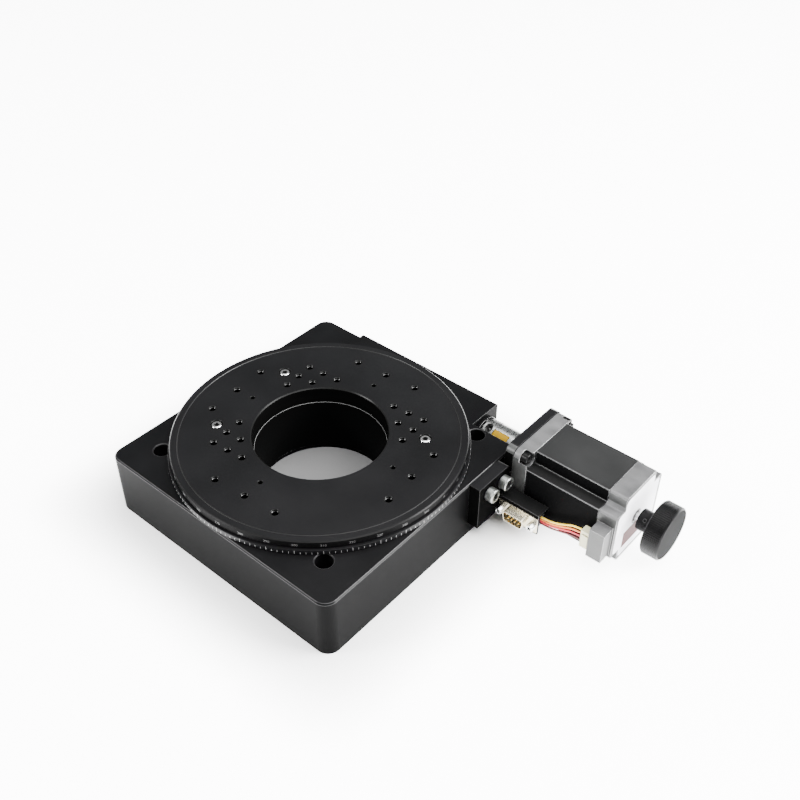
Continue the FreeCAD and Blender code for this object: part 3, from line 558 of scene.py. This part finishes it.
def placeScrews(name, material, body, kind, spots, direction, replaced=()):
    # each screw stands turned by an angle of its own, in degrees
    bm = bmesh.new()
    for index, spot in enumerate(spots):
        merge(bm, capScrew(*screws[kind]), facing(spot, direction, 17 + 23 * index))
    return finishMesh(bm, name, [material, socketShade], body, replaced, sharp=28)


def around(count, radius, start=0.0):
    turns = [math.radians(start + 360 * step / count) for step in range(count)]
    return [(radius * math.cos(turn), radius * math.sin(turn)) for turn in turns]


# Table: a turned disc with grooves and chamfered, threaded holes
table = {
    "radius": 100.0,
    "bore": 46.0,
    "edge": 0.7,
    "groove": 94.7,
    "grooveWidth": 0.7,
    "grooveDepth": 0.4,
    "grooveFloor": 0.05,    # half its width
    "rimRecess": 0.8,
    "rimEdge": 0.15,
    "spigot": 91.95,
    "spigotInner": 87.6,
    "spigotDepth": 2.0,
    "pitch": 12.5,
    "hole": 2.5,
    "chamfer": 0.35,
    "threadInner": 2.15,
    "threadOuter": 2.48,
    "threadEnd": 2.55,      # reaches into the wall
    "threadPitch": 0.8,
    "threadStart": 0.2,     # above the table's underside
    "pins": 4,
    "pin": 1.6,
    "pinChamfer": 0.3,
    "pinRadius": 60.3,
    "screwRadius": 70.7,
    "screwAngles": (30, 150, 210),
    "screwPocket": 4.1,
    "pocketChamfer": 0.25,
    "screwSeat": 51.8,
    "upright": 0.2,         # walls lean less than this
    "level": 0.95,          # and flat faces more than this
}


def tableSpots():
    # centres of the threaded holes on the table's own axes
    p = table["pitch"]
    cluster = [(2, 4), (3, 4), (4, 4), (3, 3), (4, 3), (4, 2)]
    spots = [(sx * a * p, sy * b * p) for sx, sy in ((1, 1), (-1, 1), (-1, -1)) for a, b in cluster]
    for step in (-2, 0, 2):
        for side in (-6, 6):
            spots.append((side * p, step * p))
            spots.append((step * p, side * p))
    return spots


def turned(x, y):
    turn = Matrix.Rotation(math.radians(places["tableTurn"]), 3, "Z")
    spot = turn @ Vector((x, y, 0))
    return spot.x, spot.y


def screwPlaces():
    return [around(1, table["screwRadius"], angle + places["tableTurn"])[0] for angle in table["screwAngles"]]


def drillBit(radius, chamfer, low, high, steps=32):
    # it has a countersink at the height "high"
    return lathe([(0, low), (radius, low), (radius, high - chamfer), (radius + chamfer, high),
                  (radius + chamfer, high + 1), (0, high + 1)], steps)


def tableBlank():
    t = table
    top = places["tableTop"]
    low = places["tableBottom"]
    half = t["grooveWidth"] / 2
    bm = lathe([
        (t["bore"], low),
        (t["spigotInner"], low),
        (t["spigotInner"], low - t["spigotDepth"]),
        (t["spigot"], low - t["spigotDepth"]),
        (t["spigot"], low),
        (t["radius"] - t["rimRecess"], low),
        (t["radius"] - t["rimRecess"], low + t["rimRecess"]),
        (t["radius"] - t["rimEdge"], low + t["rimRecess"]),
        (t["radius"], low + t["rimRecess"] + t["rimEdge"]),
        (t["radius"], top - t["edge"]),
        (t["radius"] - t["edge"], top),
        (t["groove"] + half, top),
        (t["groove"] + t["grooveFloor"], top - t["grooveDepth"]),
        (t["groove"] - t["grooveFloor"], top - t["grooveDepth"]),
        (t["groove"] - half, top),
        (t["bore"] + t["edge"], top),
        (t["bore"], top - t["edge"]),
    ], 256)
    bmesh.ops.recalc_face_normals(bm, faces=bm.faces)
    mesh = bpy.data.meshes.new("table_plate")
    bm.to_mesh(mesh)
    bm.free()
    return mesh


def tableDrills():
    t = table
    top = places["tableTop"]
    low = places["tableBottom"]
    drills = bmesh.new()
    for x, y in tableSpots():
        merge(drills, drillBit(t["hole"], t["chamfer"], low - 1, top), at(*turned(x, y)))
    for x, y in around(t["pins"], t["pinRadius"]):
        merge(drills, drillBit(t["pin"], t["pinChamfer"], low - 1, top), at(*turned(x, y)))
    for x, y in screwPlaces():
        merge(drills, drillBit(t["screwPocket"], t["pocketChamfer"], t["screwSeat"], top, 48), at(x, y))
    return drills


def makeTable():
    mesh = subtract(tableBlank(), tableDrills())
    mesh.materials.clear()
    mesh.shade_smooth()
    mesh.set_sharp_from_angle(angle=math.radians(25))
    for material in (blackTurned, edgeTable, blackWell, blackShadedFlank, grooveHighlight):
        mesh.materials.append(material)
    # chamfers and the groove get lighter copies as painted highlights, the walls in the bore and holes and
    # the rim's sides darker ones as painted shade
    for face in mesh.polygons:
        lean = abs(face.normal.z)
        out = face.center.xy.length / mm
        if abs(out - table["groove"]) < table["grooveWidth"] / 2:
            face.material_index = 4
        elif table["upright"] < lean < table["level"]:
            face.material_index = 1
        elif lean <= table["upright"]:
            face.material_index = 3 if out > table["spigot"] else 2
        else:
            face.material_index = 0
    linkPiece("table_plate", mesh, "table", ["table_top"])


def makeTableThreads():
    t = table
    bm = bmesh.new()
    low = places["tableBottom"] + t["threadStart"]
    depth = places["tableTop"] - low - t["chamfer"] - t["threadStart"]
    count = int(depth / t["threadPitch"])
    profile = [(t["threadEnd"], low)]
    for step in range(count):
        profile.append((t["threadOuter"], low + step * t["threadPitch"]))
        profile.append((t["threadInner"], low + (step + 0.5) * t["threadPitch"]))
    profile.append((t["threadEnd"], low + count * t["threadPitch"]))
    for x, y in tableSpots():
        merge(bm, lathe(profile, 20), at(*turned(x, y)))
    finishMesh(bm, "table_hole_threads", [threadSteel], "table", sharp=80)


def makeTableScrews():
    spots = [(x, y, table["screwSeat"]) for x, y in screwPlaces()]
    placeScrews("table_cap_screws", plated, "table", "table", spots, (0, 0, 1), ["table_screws"])


makeTable()
makeTableThreads()
makeTableScrews()
print("table made")

# Scale ring with its degree marks and numbers
scale = {
    "outer": 101.5,
    "inner": 92.0,
    "low": 46.3,
    "high": 50.0,
    "edge": 0.25,
    "marks": 180,
    "longEvery": 5,
    "markWidth": 0.22,
    "markDepth": 0.06,
    "shortLow": 46.9,
    "shortHigh": 48.6,
    "longHigh": 49.5,
    "numbers": 36,
    "numberSize": 2.7,
    "numberDepth": 0.02,
    "numberGap": 0.01,      # clear of the table's rim
    "numberZ": 51.9,
}


def makeScale():
    s = scale
    ring = tube(s["outer"], s["inner"], s["low"], s["high"], s["edge"], 256)
    finishMesh(ring, "scale_ring_turned", [blackTurned], "table", ["scale_ring"])
    bm = bmesh.new()
    for mark in range(s["marks"]):
        high = s["shortHigh"] if mark % s["longEvery"] else s["longHigh"]
        size = block((s["markDepth"], s["markWidth"], high - s["shortLow"]))
        middle = at(s["outer"], 0, (high + s["shortLow"]) / 2)
        bmesh.ops.create_cube(bm, size=1, matrix=onScale(mark * 360 / s["marks"]) @ middle @ size)
    finishMesh(bm, "scale_marks", [markWhite], "table")


def onScale(degrees):
    return Matrix.Rotation(math.radians(places["tableTurn"] + degrees), 4, "Z")


def numberMesh(words):
    curve = bpy.data.curves.new("number", "FONT")
    curve.body = words
    curve.size = scale["numberSize"] * mm
    curve.align_x = "CENTER"
    curve.extrude = scale["numberDepth"] * mm
    curve.resolution_u = 3
    text = bpy.data.objects.new("number", curve)
    scene.collection.objects.link(text)
    bpy.context.view_layer.update()
    mesh = bpy.data.meshes.new_from_object(text.evaluated_get(bpy.context.evaluated_depsgraph_get()))
    bpy.data.objects.remove(text)
    return mesh


def makeNumbers():
    # degrees on the table's rim, above the marks
    bm = bmesh.new()
    upright = Matrix.Rotation(math.radians(90), 4, "Z") @ Matrix.Rotation(math.radians(90), 4, "X")
    out = at(table["radius"] + scale["numberGap"], 0, scale["numberZ"])
    for step in range(scale["numbers"]):
        degrees = step * 360 // scale["numbers"]
        mesh = numberMesh(str(degrees))
        mesh.transform(onScale(degrees) @ out @ upright)
        bm.from_mesh(mesh)
        bpy.data.meshes.remove(mesh)
    finishMesh(bm, "scale_numbers", [numberGrey], "table")


makeScale()
makeNumbers()
print("scale made")

# Rotor hub: the turned spindle seen inside the bore, with a painted highlight on its ledge
hub = {
    "bore": 45.0,
    "wall": 50.0,
    "low": 3.5,
    "raceTop": 34.0,
    "step": 55.5,
    "flange": 41.0,
    "skirtInner": 78.0,
    "skirtOuter": 88.0,
    "seat": 87.5,
    "seatFloor": 46.3,
    "wheelTop": 34.6,
    "ledge": 44.0,
    "ledgeEdge": 0.15,
    "footEdge": 0.4,
    "pilot": 46.0,
    "highlightReach": 46.2,    # the painted highlight on the ledge reaches this far
    "highlightZ": (43.83, 43.99),
}


def makeHub():
    h = hub
    top = places["tableBottom"]
    bm = lathe([
        (h["bore"] + h["footEdge"], h["low"]),
        (h["wall"], h["low"]),
        (h["wall"], h["raceTop"]),
        (h["step"], h["raceTop"]),
        (h["step"], h["flange"]),
        (h["skirtInner"], h["flange"]),
        (h["skirtInner"], h["wheelTop"]),
        (h["skirtOuter"], h["wheelTop"]),
        (h["skirtOuter"], h["seatFloor"]),
        (h["seat"], h["seatFloor"]),
        (h["seat"], top),
        (h["pilot"], top),
        (h["pilot"], h["ledge"]),
        (h["bore"] + h["ledgeEdge"], h["ledge"]),
        (h["bore"], h["ledge"] - h["ledgeEdge"]),
        (h["bore"], h["low"] + h["footEdge"]),
    ], 256)
    finishMesh(bm, "rotor_hub_turned", [blackBore], "table", ["rotor_hub"])


def boreMaterial():
    # black inside the bore, darker than the other blacks as painted shade, with a painted highlight ring on
    # the ledge's edge
    dark = (0.0015, 0.0015, 0.0015)
    material, tree, shader, where = startMaterial("boreBlack", dark, 0.5, sheen=0.01)
    axes = splitAxes(tree, where)
    within = doMath(tree, "LESS_THAN", fromAxis(tree, axes), hub["highlightReach"] * mm)
    bright = doMath(tree, "MULTIPLY", within, between(tree, axes["Z"], hub["highlightZ"]))
    colour = mixColours(tree, bright, dark, (0.15, 0.15, 0.15))
    tree.links.new(colour, shader.inputs["Base Color"])
    addBump(tree, shader, addNoise(tree, where, 900, (0.2, 0.2, 1)), 0.1, 0.00002)
    return material


blackBore = boreMaterial()
makeHub()
print("hub made")

# Black pieces of the base and the bracket, and their screws
foot = {
    "left": 101.0,
    "right": 110.6,
    "front": 32.0,
    "back": 66.9,
    "end": 11.0,            # above the floor
    "screws": ((110.0, 43.0, 37.0), (110.0, 58.0, 37.0)),
    "connectorScrews": ((111.5, 61.8, 13.5), (111.5, 61.8, 21.5)),
}
endCap = {
    "seat": 68.1,
    "screws": 3,
    "screwRadius": 11.4,
}
innerScrews = {
    "count": 6,             # in each ring of screws
    "clampSeat": 37.0,
    "clampRadius": 71.0,
    "wheelSeat": 22.6,
    "wheelRadius": 83.0,
}


def makeBracket():
    # the photograph shows the foot ending above the floor, so its lower end is carved away
    f = foot
    carving = bmesh.new()
    size = block((f["right"] - f["left"], f["back"] - f["front"], 2 * f["end"]))
    middle = at((f["right"] + f["left"]) / 2, (f["back"] + f["front"]) / 2)
    bmesh.ops.create_cube(carving, size=1, matrix=middle @ size)
    dressNode("motor_bracket", bracketBlack, 0.2, edge=edgeBracket, flank=bracketShadedFlank, slope=cornerBlack,
              cutter=carving, clamp=False)
    placeScrews("foot_cap_screws", zincGrey, "base", "foot", f["screws"], (1, 0, 0), ["bracket_foot_screws"])


def makeConnectorBracket():
    dressNode("connector_bracket", sheetBlack, 0.15, edge=edgeBlack, flank=blackShadedFlank)
    placeScrews("connector_bracket_screws", plated, "base", "small", foot["connectorScrews"], (1, 0, 0))


def makeEndCap():
    dressNode("worm_end_cap", black, 0.2, edge=edgeBlack, flank=blackShadedFlank)
    spots = [(endCap["seat"], places["axisY"] + y, places["axisZ"] + z)
             for y, z in around(endCap["screws"], endCap["screwRadius"], 90)]
    placeScrews("end_cap_screws", blackOxide, "base", "endCap", spots, (1, 0, 0))


def makeInnerScrews():
    i = innerScrews
    clampSpots = [(x, y, i["clampSeat"]) for x, y in around(i["count"], i["clampRadius"])]
    placeScrews("clamp_ring_screws", blackOxide, "base", "small", clampSpots, (0, 0, 1))
    wheelSpots = [(x, y, i["wheelSeat"]) for x, y in around(i["count"], i["wheelRadius"])]
    placeScrews("wheel_screws", blackOxide, "table", "small", wheelSpots, (0, 0, -1))


dressNode("base_housing", black, 0.2, edge=edgeBase, flank=blackShadedFlank, clamp=False)
makeBracket()
makeConnectorBracket()
makeEndCap()
makeInnerScrews()
paintNode("race_clamp_ring", black)
print("base made")

# Motor
flange = {
    "seat": 115.4,
    "reach": 23.57,         # of the screws from the motor's axis
    "notch": 4.8,
    "notchDepth": 8.0,      # past the bell's rear face
}
motor = {
    "notchTop": 54.0,       # the laminations above it keep the top's material, the notch floors below get painted shade
    "tieSeat": 188.0,
    "tieY": 21.0,           # of the tie screws from the motor's axis
    "tieZ": 14.0,
}


def notchOutline(radius, toward):
    # round, and open on the side that faces the angle "toward"
    def reach(angle):
        lean = angle - toward
        if math.cos(lean) <= 0:
            return radius
        return min(radius / max(abs(math.sin(lean)), 1e-6), 3 * radius)
    return reach


def makeFrontBell():
    # the flange's screws stand in notches that are open at the bell's corners
    f = flange
    notches = bmesh.new()
    spots = []
    for sideY in (-1, 1):
        for sideZ in (-1, 1):
            y = places["axisY"] + sideY * f["reach"]
            z = places["axisZ"] + sideZ * f["reach"]
            outline = notchOutline(f["notch"], math.atan2(sideY, -sideZ))
            merge(notches, column([(0, outline), (f["notchDepth"], outline)], 96), onAxisX(f["seat"], y, z))
            spots.append((f["seat"], y, z))
    dressNode("motor_front_bell", castBell, 0.25, edge=castEdge, flank=castFlank, cutter=notches, clamp=False)
    placeScrews("flange_cap_screws", screwBlack, "base", "flange", spots, (1, 0, 0), ["motor_flange_screws"])


def makeRearBell():
    m = motor
    dressNode("motor_rear_bell", castBell, 0.4, edge=castEdge, flank=castFlank)
    spots = [(m["tieSeat"], places["axisY"] + y, places["axisZ"] + z)
             for y in (-m["tieY"], m["tieY"]) for z in (-m["tieZ"], m["tieZ"])]
    placeScrews("motor_tie_screws", plated, "base", "tie", spots, (1, 0, 0))


def makeStack():
    # the floors of the corner notches get a darker copy of the laminations: painted shade
    stack = dressNode("stator_stack", laminated, 0.5, edge=edgeBlack, flank=laminatedFlank)
    stack.data.materials.append(laminatedNotch)
    for face in stack.data.polygons:
        if face.normal.z > dressing["level"] and face.center.z < motor["notchTop"] * mm:
            face.material_index = 4


def paintInside():
    for node in nodes:
        if "bearing" in node:
            paintNode(node, brightSteel)
    for node in ("motor_shaft", "worm_shaft", "worm_locknut", "spindle_nut", "outer_race", "inner_race"):
        paintNode(node, brightSteel)
    paintNode("motor_rotor", laminated)
    paintNode("worm_wheel", bronze)


makeFrontBell()
makeStack()
makeRearBell()
paintInside()
paintNode("motor_socket", plasticBlack)
dressNode("motor_plug", plugWhite, 0.25)

label = {
    "reach": 25.4,          # from the shaft to the label's sides
    "arm": 17.5,            # half the width of its arms, between the notches of the bell
    "softness": 14,         # a higher number gives sharper corners
    "hole": 5.5,
    "thickness": 0.12,
    "x": 190.5,
    "fieldY": (81.5, 110.5),
    "fieldZ": (9.5, 23.5),
}


def crossOutline(reach, arm, softness):
    # a square with its four corners cut out, every corner rounded
    def radius(angle):
        c = max(abs(math.cos(angle)), 1e-6)
        s = max(abs(math.sin(angle)), 1e-6)
        k = softness
        first = ((reach / c) ** -k + (arm / s) ** -k) ** (-1 / k)
        second = ((arm / c) ** -k + (reach / s) ** -k) ** (-1 / k)
        return max(first, second)
    return radius


def makeLabel():
    # a blank sticker in the outline of the rear bell, with one field of colour and a hole round the shaft
    l = label
    outline = crossOutline(l["reach"], l["arm"], l["softness"])
    hole = roundOutline(l["hole"])
    bm = column([(0, outline), (l["thickness"], outline), (l["thickness"], hole), (0, hole)], 360, True)
    bmesh.ops.transform(bm, matrix=onAxisX(l["x"]), verts=bm.verts)
    finishMesh(bm, "rear_label", [labelPaint()], "base")


def labelPaint():
    material, tree, shader, where = startMaterial("labelField", (0.8, 0.79, 0.82), 0.45, sheen=0.05)
    axes = splitAxes(tree, where)
    field = doMath(tree, "MULTIPLY", between(tree, axes["Y"], label["fieldY"]),
                   between(tree, axes["Z"], label["fieldZ"]))
    paper = mixColours(tree, spread(tree, addNoise(tree, where, 120)), (0.74, 0.73, 0.77), (0.84, 0.83, 0.86))
    colour = mixColours(tree, field, paper, (0.055, 0.007, 0.005))
    tree.links.new(colour, shader.inputs["Base Color"])
    return material


makeLabel()
print("motor made")

# Coupling
coupling = {
    "screwOffset": 8.6,
    "screwReach": 4.16,
    "screwSpin": 11.0,      # degrees that their sockets stand turned
    "slits": ((73.85, 63.0), (95.35, 243.0)),       # place along X and angle in degrees
}


def makeClampScrews():
    bm = bmesh.new()
    for x, slit in coupling["slits"]:
        turn = math.radians(slit)
        radial = Vector((0, math.cos(turn), math.sin(turn)))
        across = Vector((0, -math.sin(turn), math.cos(turn)))
        centre = Vector((x, places["axisY"], places["axisZ"]))
        seat = centre + radial * coupling["screwOffset"] + across * coupling["screwReach"]
        merge(bm, capScrew(*screws["clamp"]), facing(seat, across, coupling["screwSpin"]))
    finishMesh(bm, "coupling_clamp_screws", [blackOxide], "worm")


dressNode("coupling_hub_worm", hubSilver, 0.3)
dressNode("coupling_hub_motor", hubSilver, 0.3)
dressNode("coupling_spider", spiderYellow, 0.25)
makeClampScrews()
print("coupling made")

# Hand knob with a knurled rim
knob = {
    "x": 194.0,
    "hub": 7.5,
    "hubLength": 10.0,
    "radius": 19.0,
    "length": 12.6,
    "edge": 1.0,
    "ridges": 90,
    "ridgeDepth": 0.14,
    "bore": 3.2,
    "hubEdge": 0.4,
    "fillet": 0.6,          # where the hub meets the rim
    "filletBend": 0.17,     # of its middle from the corner, each way
    "faceRounding": 0.15,
    "faceBand": 0.05,       # of the turned end, along the axis
    "setReach": 6.6,        # of the set screw's seat from the shaft's axis
}


def makeKnob():
    k = knob
    knurl = knurlOutline(k["radius"], k["ridgeDepth"], k["ridges"])
    start = k["hubLength"]
    end = start + k["length"]
    bm = column([
        (0.0, roundOutline(k["bore"])),
        (0.0, roundOutline(k["hub"] - k["hubEdge"])),
        (k["hubEdge"], roundOutline(k["hub"])),
        (start - k["fillet"], roundOutline(k["hub"])),
        (start - k["filletBend"], roundOutline(k["hub"] + k["filletBend"])),
        (start, roundOutline(k["hub"] + k["fillet"])),
        (start, roundOutline(k["radius"] - k["edge"])),
        (start + k["edge"], knurl),
        (end - k["edge"], knurl),
        (end - k["faceRounding"], roundOutline(k["radius"] - k["edge"] * 0.9)),
        (end, roundOutline(k["radius"] - k["edge"] * 1.2)),
    ], k["ridges"] * 4)
    # the end face gets the lighter copy: painted light
    for face in bm.faces:
        if face.calc_center_median().z > (end - k["faceBand"]) * mm:
            face.material_index = 1
    bmesh.ops.transform(bm, matrix=onAxisX(k["x"]), verts=bm.verts)
    finishMesh(bm, "hand_knob_knurled", [knobBlack, knobFace], "worm", ["hand_knob"],
               sharp=24)
    side = k["setReach"] * math.sqrt(0.5)
    setSpot = (k["x"] + k["hubLength"] / 2, places["axisY"] - side, places["axisZ"] + side)
    placeScrews("knob_set_screw", blackOxide, "worm", "set", [setSpot], (0, -1, 1))


makeKnob()
print("knob made")

# Nine-pin connector
connector = {
    "x": 126.4,
    "z": 17.2,
    "face": 55.0,           # front of the flange, along Y
    "pinPitch": 2.77,
    "rowPitch": 2.84,
    "rows": ((0.5, 5), (-0.5, 4)),      # height in row pitches, and pins in the row
    "pinRadius": 0.5,
    "pinStart": 57.0,
    "pinEnd": 50.0,
    "pinTip": 0.4,
    "jackSpacing": 25.0,
    "jackFlats": 4.8,
    "jackLength": 5.0,
    "jackChamfer": 0.4,
    "jackMouth": 1.5,
    "jackLeadIn": 0.3,
    "jackTaper": 0.05,
    "jackBore": 1.25,
    "jackFloor": 1.0,
}


def makePins():
    c = connector
    length = c["pinStart"] - c["pinEnd"]
    pins = bmesh.new()
    for row, count in c["rows"]:
        for index in range(count):
            x = c["x"] + (index - (count - 1) / 2) * c["pinPitch"]
            pin = column([
                (0, roundOutline(c["pinRadius"])),
                (length - c["pinTip"], roundOutline(c["pinRadius"])),
                (length, roundOutline(c["pinRadius"] / 2)),
            ], 16)
            merge(pins, pin, facing((x, c["pinStart"], c["z"] + row * c["rowPitch"]), (0, -1, 0)))
    finishMesh(pins, "connector_pins", [pinGold], "base")


def makeJacks():
    c = connector
    jacks = bmesh.new()
    for side in (-0.5, 0.5):
        jack = column([
            (0, hexOutline(c["jackFlats"])),
            (c["jackLength"] - c["jackChamfer"], hexOutline(c["jackFlats"])),
            (c["jackLength"], roundOutline(c["jackFlats"] * 0.46)),
            (c["jackLength"], roundOutline(c["jackMouth"])),
            (c["jackLength"] - c["jackLeadIn"], roundOutline(c["jackBore"])),
            (c["jackFloor"], roundOutline(c["jackBore"] - c["jackTaper"])),
        ], 48)
        merge(jacks, jack, facing((c["x"] + side * c["jackSpacing"], c["face"], c["z"]), (0, -1, 0)))
    finishMesh(jacks, "connector_jack_standoffs", [plated], "base", ["connector_jack_screws"])


dressNode("connector_shell", shellPlate, 0.15)
dressNode("connector_hood", plasticBlack, 0.5)
paintNode("connector_insert", plasticBlack)
makePins()
makeJacks()
print("connector made")

# Motor leads, along the route points of the part; their real lengths in millimetres are listed beside them
leads = {
    "radius": 0.65,
    "lengths": {"brown": 35.4, "red": 35.6, "orange": 36.1, "yellow": 36.6},
    "routes": {
        "brown": [(172.9, 62.7, 19.0), (165.1, 62.7, 19.0), (155.6, 61.4, 17.4), (146.2, 62.8, 13.4),
                  (138.4, 62.8, 13.4)],
        "red": [(172.9, 62.7, 22.2), (165.1, 62.7, 22.2), (155.6, 61.9, 19.1), (146.2, 62.8, 15.3),
                (138.4, 62.8, 15.3)],
        "orange": [(172.9, 62.7, 25.4), (165.1, 62.7, 25.4), (155.6, 62.4, 20.8), (146.2, 62.8, 17.1),
                   (138.4, 62.8, 17.1)],
        "yellow": [(172.9, 62.7, 28.6), (165.1, 62.7, 28.6), (155.6, 62.9, 22.5), (146.2, 62.8, 19.0),
                   (138.4, 62.8, 19.0)],
    },
}


def makeLeads():
    for name, points in leads["routes"].items():
        curve = bpy.data.curves.new("motor_lead_" + name, "CURVE")
        curve.dimensions = "3D"
        curve.bevel_depth = leads["radius"] * mm
        curve.bevel_resolution = 4
        curve.resolution_u = 12
        curve.use_fill_caps = True
        line = curve.splines.new("NURBS")
        line.points.add(len(points) - 1)
        for place, point in zip(line.points, points):
            place.co = (*(Vector(point) * mm), 1)
        line.order_u = 3
        line.use_endpoint_u = True
        curve.materials.append(leadPaints[name])
        piece = bpy.data.objects.new("lead_" + name, curve)
        scene.collection.objects.link(piece)
        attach(piece, "base")
        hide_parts("motor_lead_" + name)


makeLeads()
print("leads made")

# Studio: a pale floor and soft light
studio = {
    "floorColour": (0.96, 0.96, 0.96),
    "floorGlow": 7.0,       # painted light: the floor glows though it is no lamp
    "glowReach": (0.11, 0.165),             # from the middle, where it starts and where it is full
    "glowRounding": 0.08,
    "shadeColour": (0.12, 0.12, 0.12),      # painted shadow on the paper at the foot of the bore
    "shadeReach": (0.046, 0.06),
    "floorSize": 8.0,
    "world": (0.97, 0.98, 1.0),
    "worldStrength": 0.3,
    # name: place, width, height and power; each box faces the object
    "boxes": {
        "overheadBox": ((0.55, 0.2, 2.2), 2.6, 2.6, 260),
        "leftStrip": ((-0.95, -1.2, 1.1), 0.6, 0.35, 50),     # seen in the front chamfer
        "rightStrip": ((1.35, 0.95, 1.05), 1.0, 0.6, 120),    # seen in the right chamfer
    },
}


def softBox(name, spot, width, height, power):
    data = bpy.data.lights.new(name, "AREA")
    data.shape = "RECTANGLE"
    data.size = width
    data.size_y = height
    data.energy = power
    lamp = bpy.data.objects.new(name, data)
    lamp.location = spot
    lamp.rotation_mode = "QUATERNION"
    lamp.rotation_quaternion = Vector(spot).to_track_quat("Z", "Y")
    scene.collection.objects.link(lamp)


def distanceTo(tree, where, spot):
    away = tree.nodes.new("ShaderNodeVectorMath")
    away.operation = "DISTANCE"
    away.inputs[1].default_value = spot
    tree.links.new(where, away.inputs[0])
    return away.outputs["Value"]


def floorPaper():
    material, tree, shader, where = startMaterial("floorPaper", studio["floorColour"], 0.8, sheen=0.1)
    grain = addNoise(tree, where, 40)
    tone = tuple(part * 0.99 for part in studio["floorColour"])
    paper = mixColours(tree, grain, studio["floorColour"], tone)
    # painted shadow: the paper under the bore is darkened
    start, full = studio["shadeReach"]
    shade = remap(tree, distanceTo(tree, where, (0, 0, 0)), start, full, 0, 1, smooth=True)
    tree.links.new(mixColours(tree, shade, studio["shadeColour"], paper), shader.inputs["Base Color"])
    # the painted glow grows from the base's sides outward, so that the floor beside them stays darker as
    # painted shade and keeps the lamps' real shadow
    axes = splitAxes(tree, where)
    across = doMath(tree, "SMOOTH_MAX", doMath(tree, "ABSOLUTE", axes["X"]),
                    doMath(tree, "ABSOLUTE", axes["Y"]), studio["glowRounding"])
    start, full = studio["glowReach"]
    glow = remap(tree, across, start, full, 0, studio["floorGlow"], smooth=True)
    tree.links.new(glow, shader.inputs["Emission Strength"])
    shader.inputs["Emission Color"].default_value = (1, 1, 1, 1)
    return material


def makeFloor():
    bm = bmesh.new()
    bmesh.ops.create_grid(bm, x_segments=1, y_segments=1, size=studio["floorSize"] / 2)
    mesh = bpy.data.meshes.new("floor")
    bm.to_mesh(mesh)
    bm.free()
    mesh.materials.append(floorPaper())
    floor = bpy.data.objects.new("floor", mesh)
    scene.collection.objects.link(floor)


def makeLights():
    world = bpy.data.worlds.new("studio")
    scene.world = world
    world.use_nodes = True
    light = world.node_tree.nodes["Background"]
    light.inputs["Color"].default_value = (*studio["world"], 1)
    light.inputs["Strength"].default_value = studio["worldStrength"]
    for name, (spot, width, height, power) in studio["boxes"].items():
        softBox(name, spot, width, height, power)


makeFloor()
makeLights()
print("studio made")
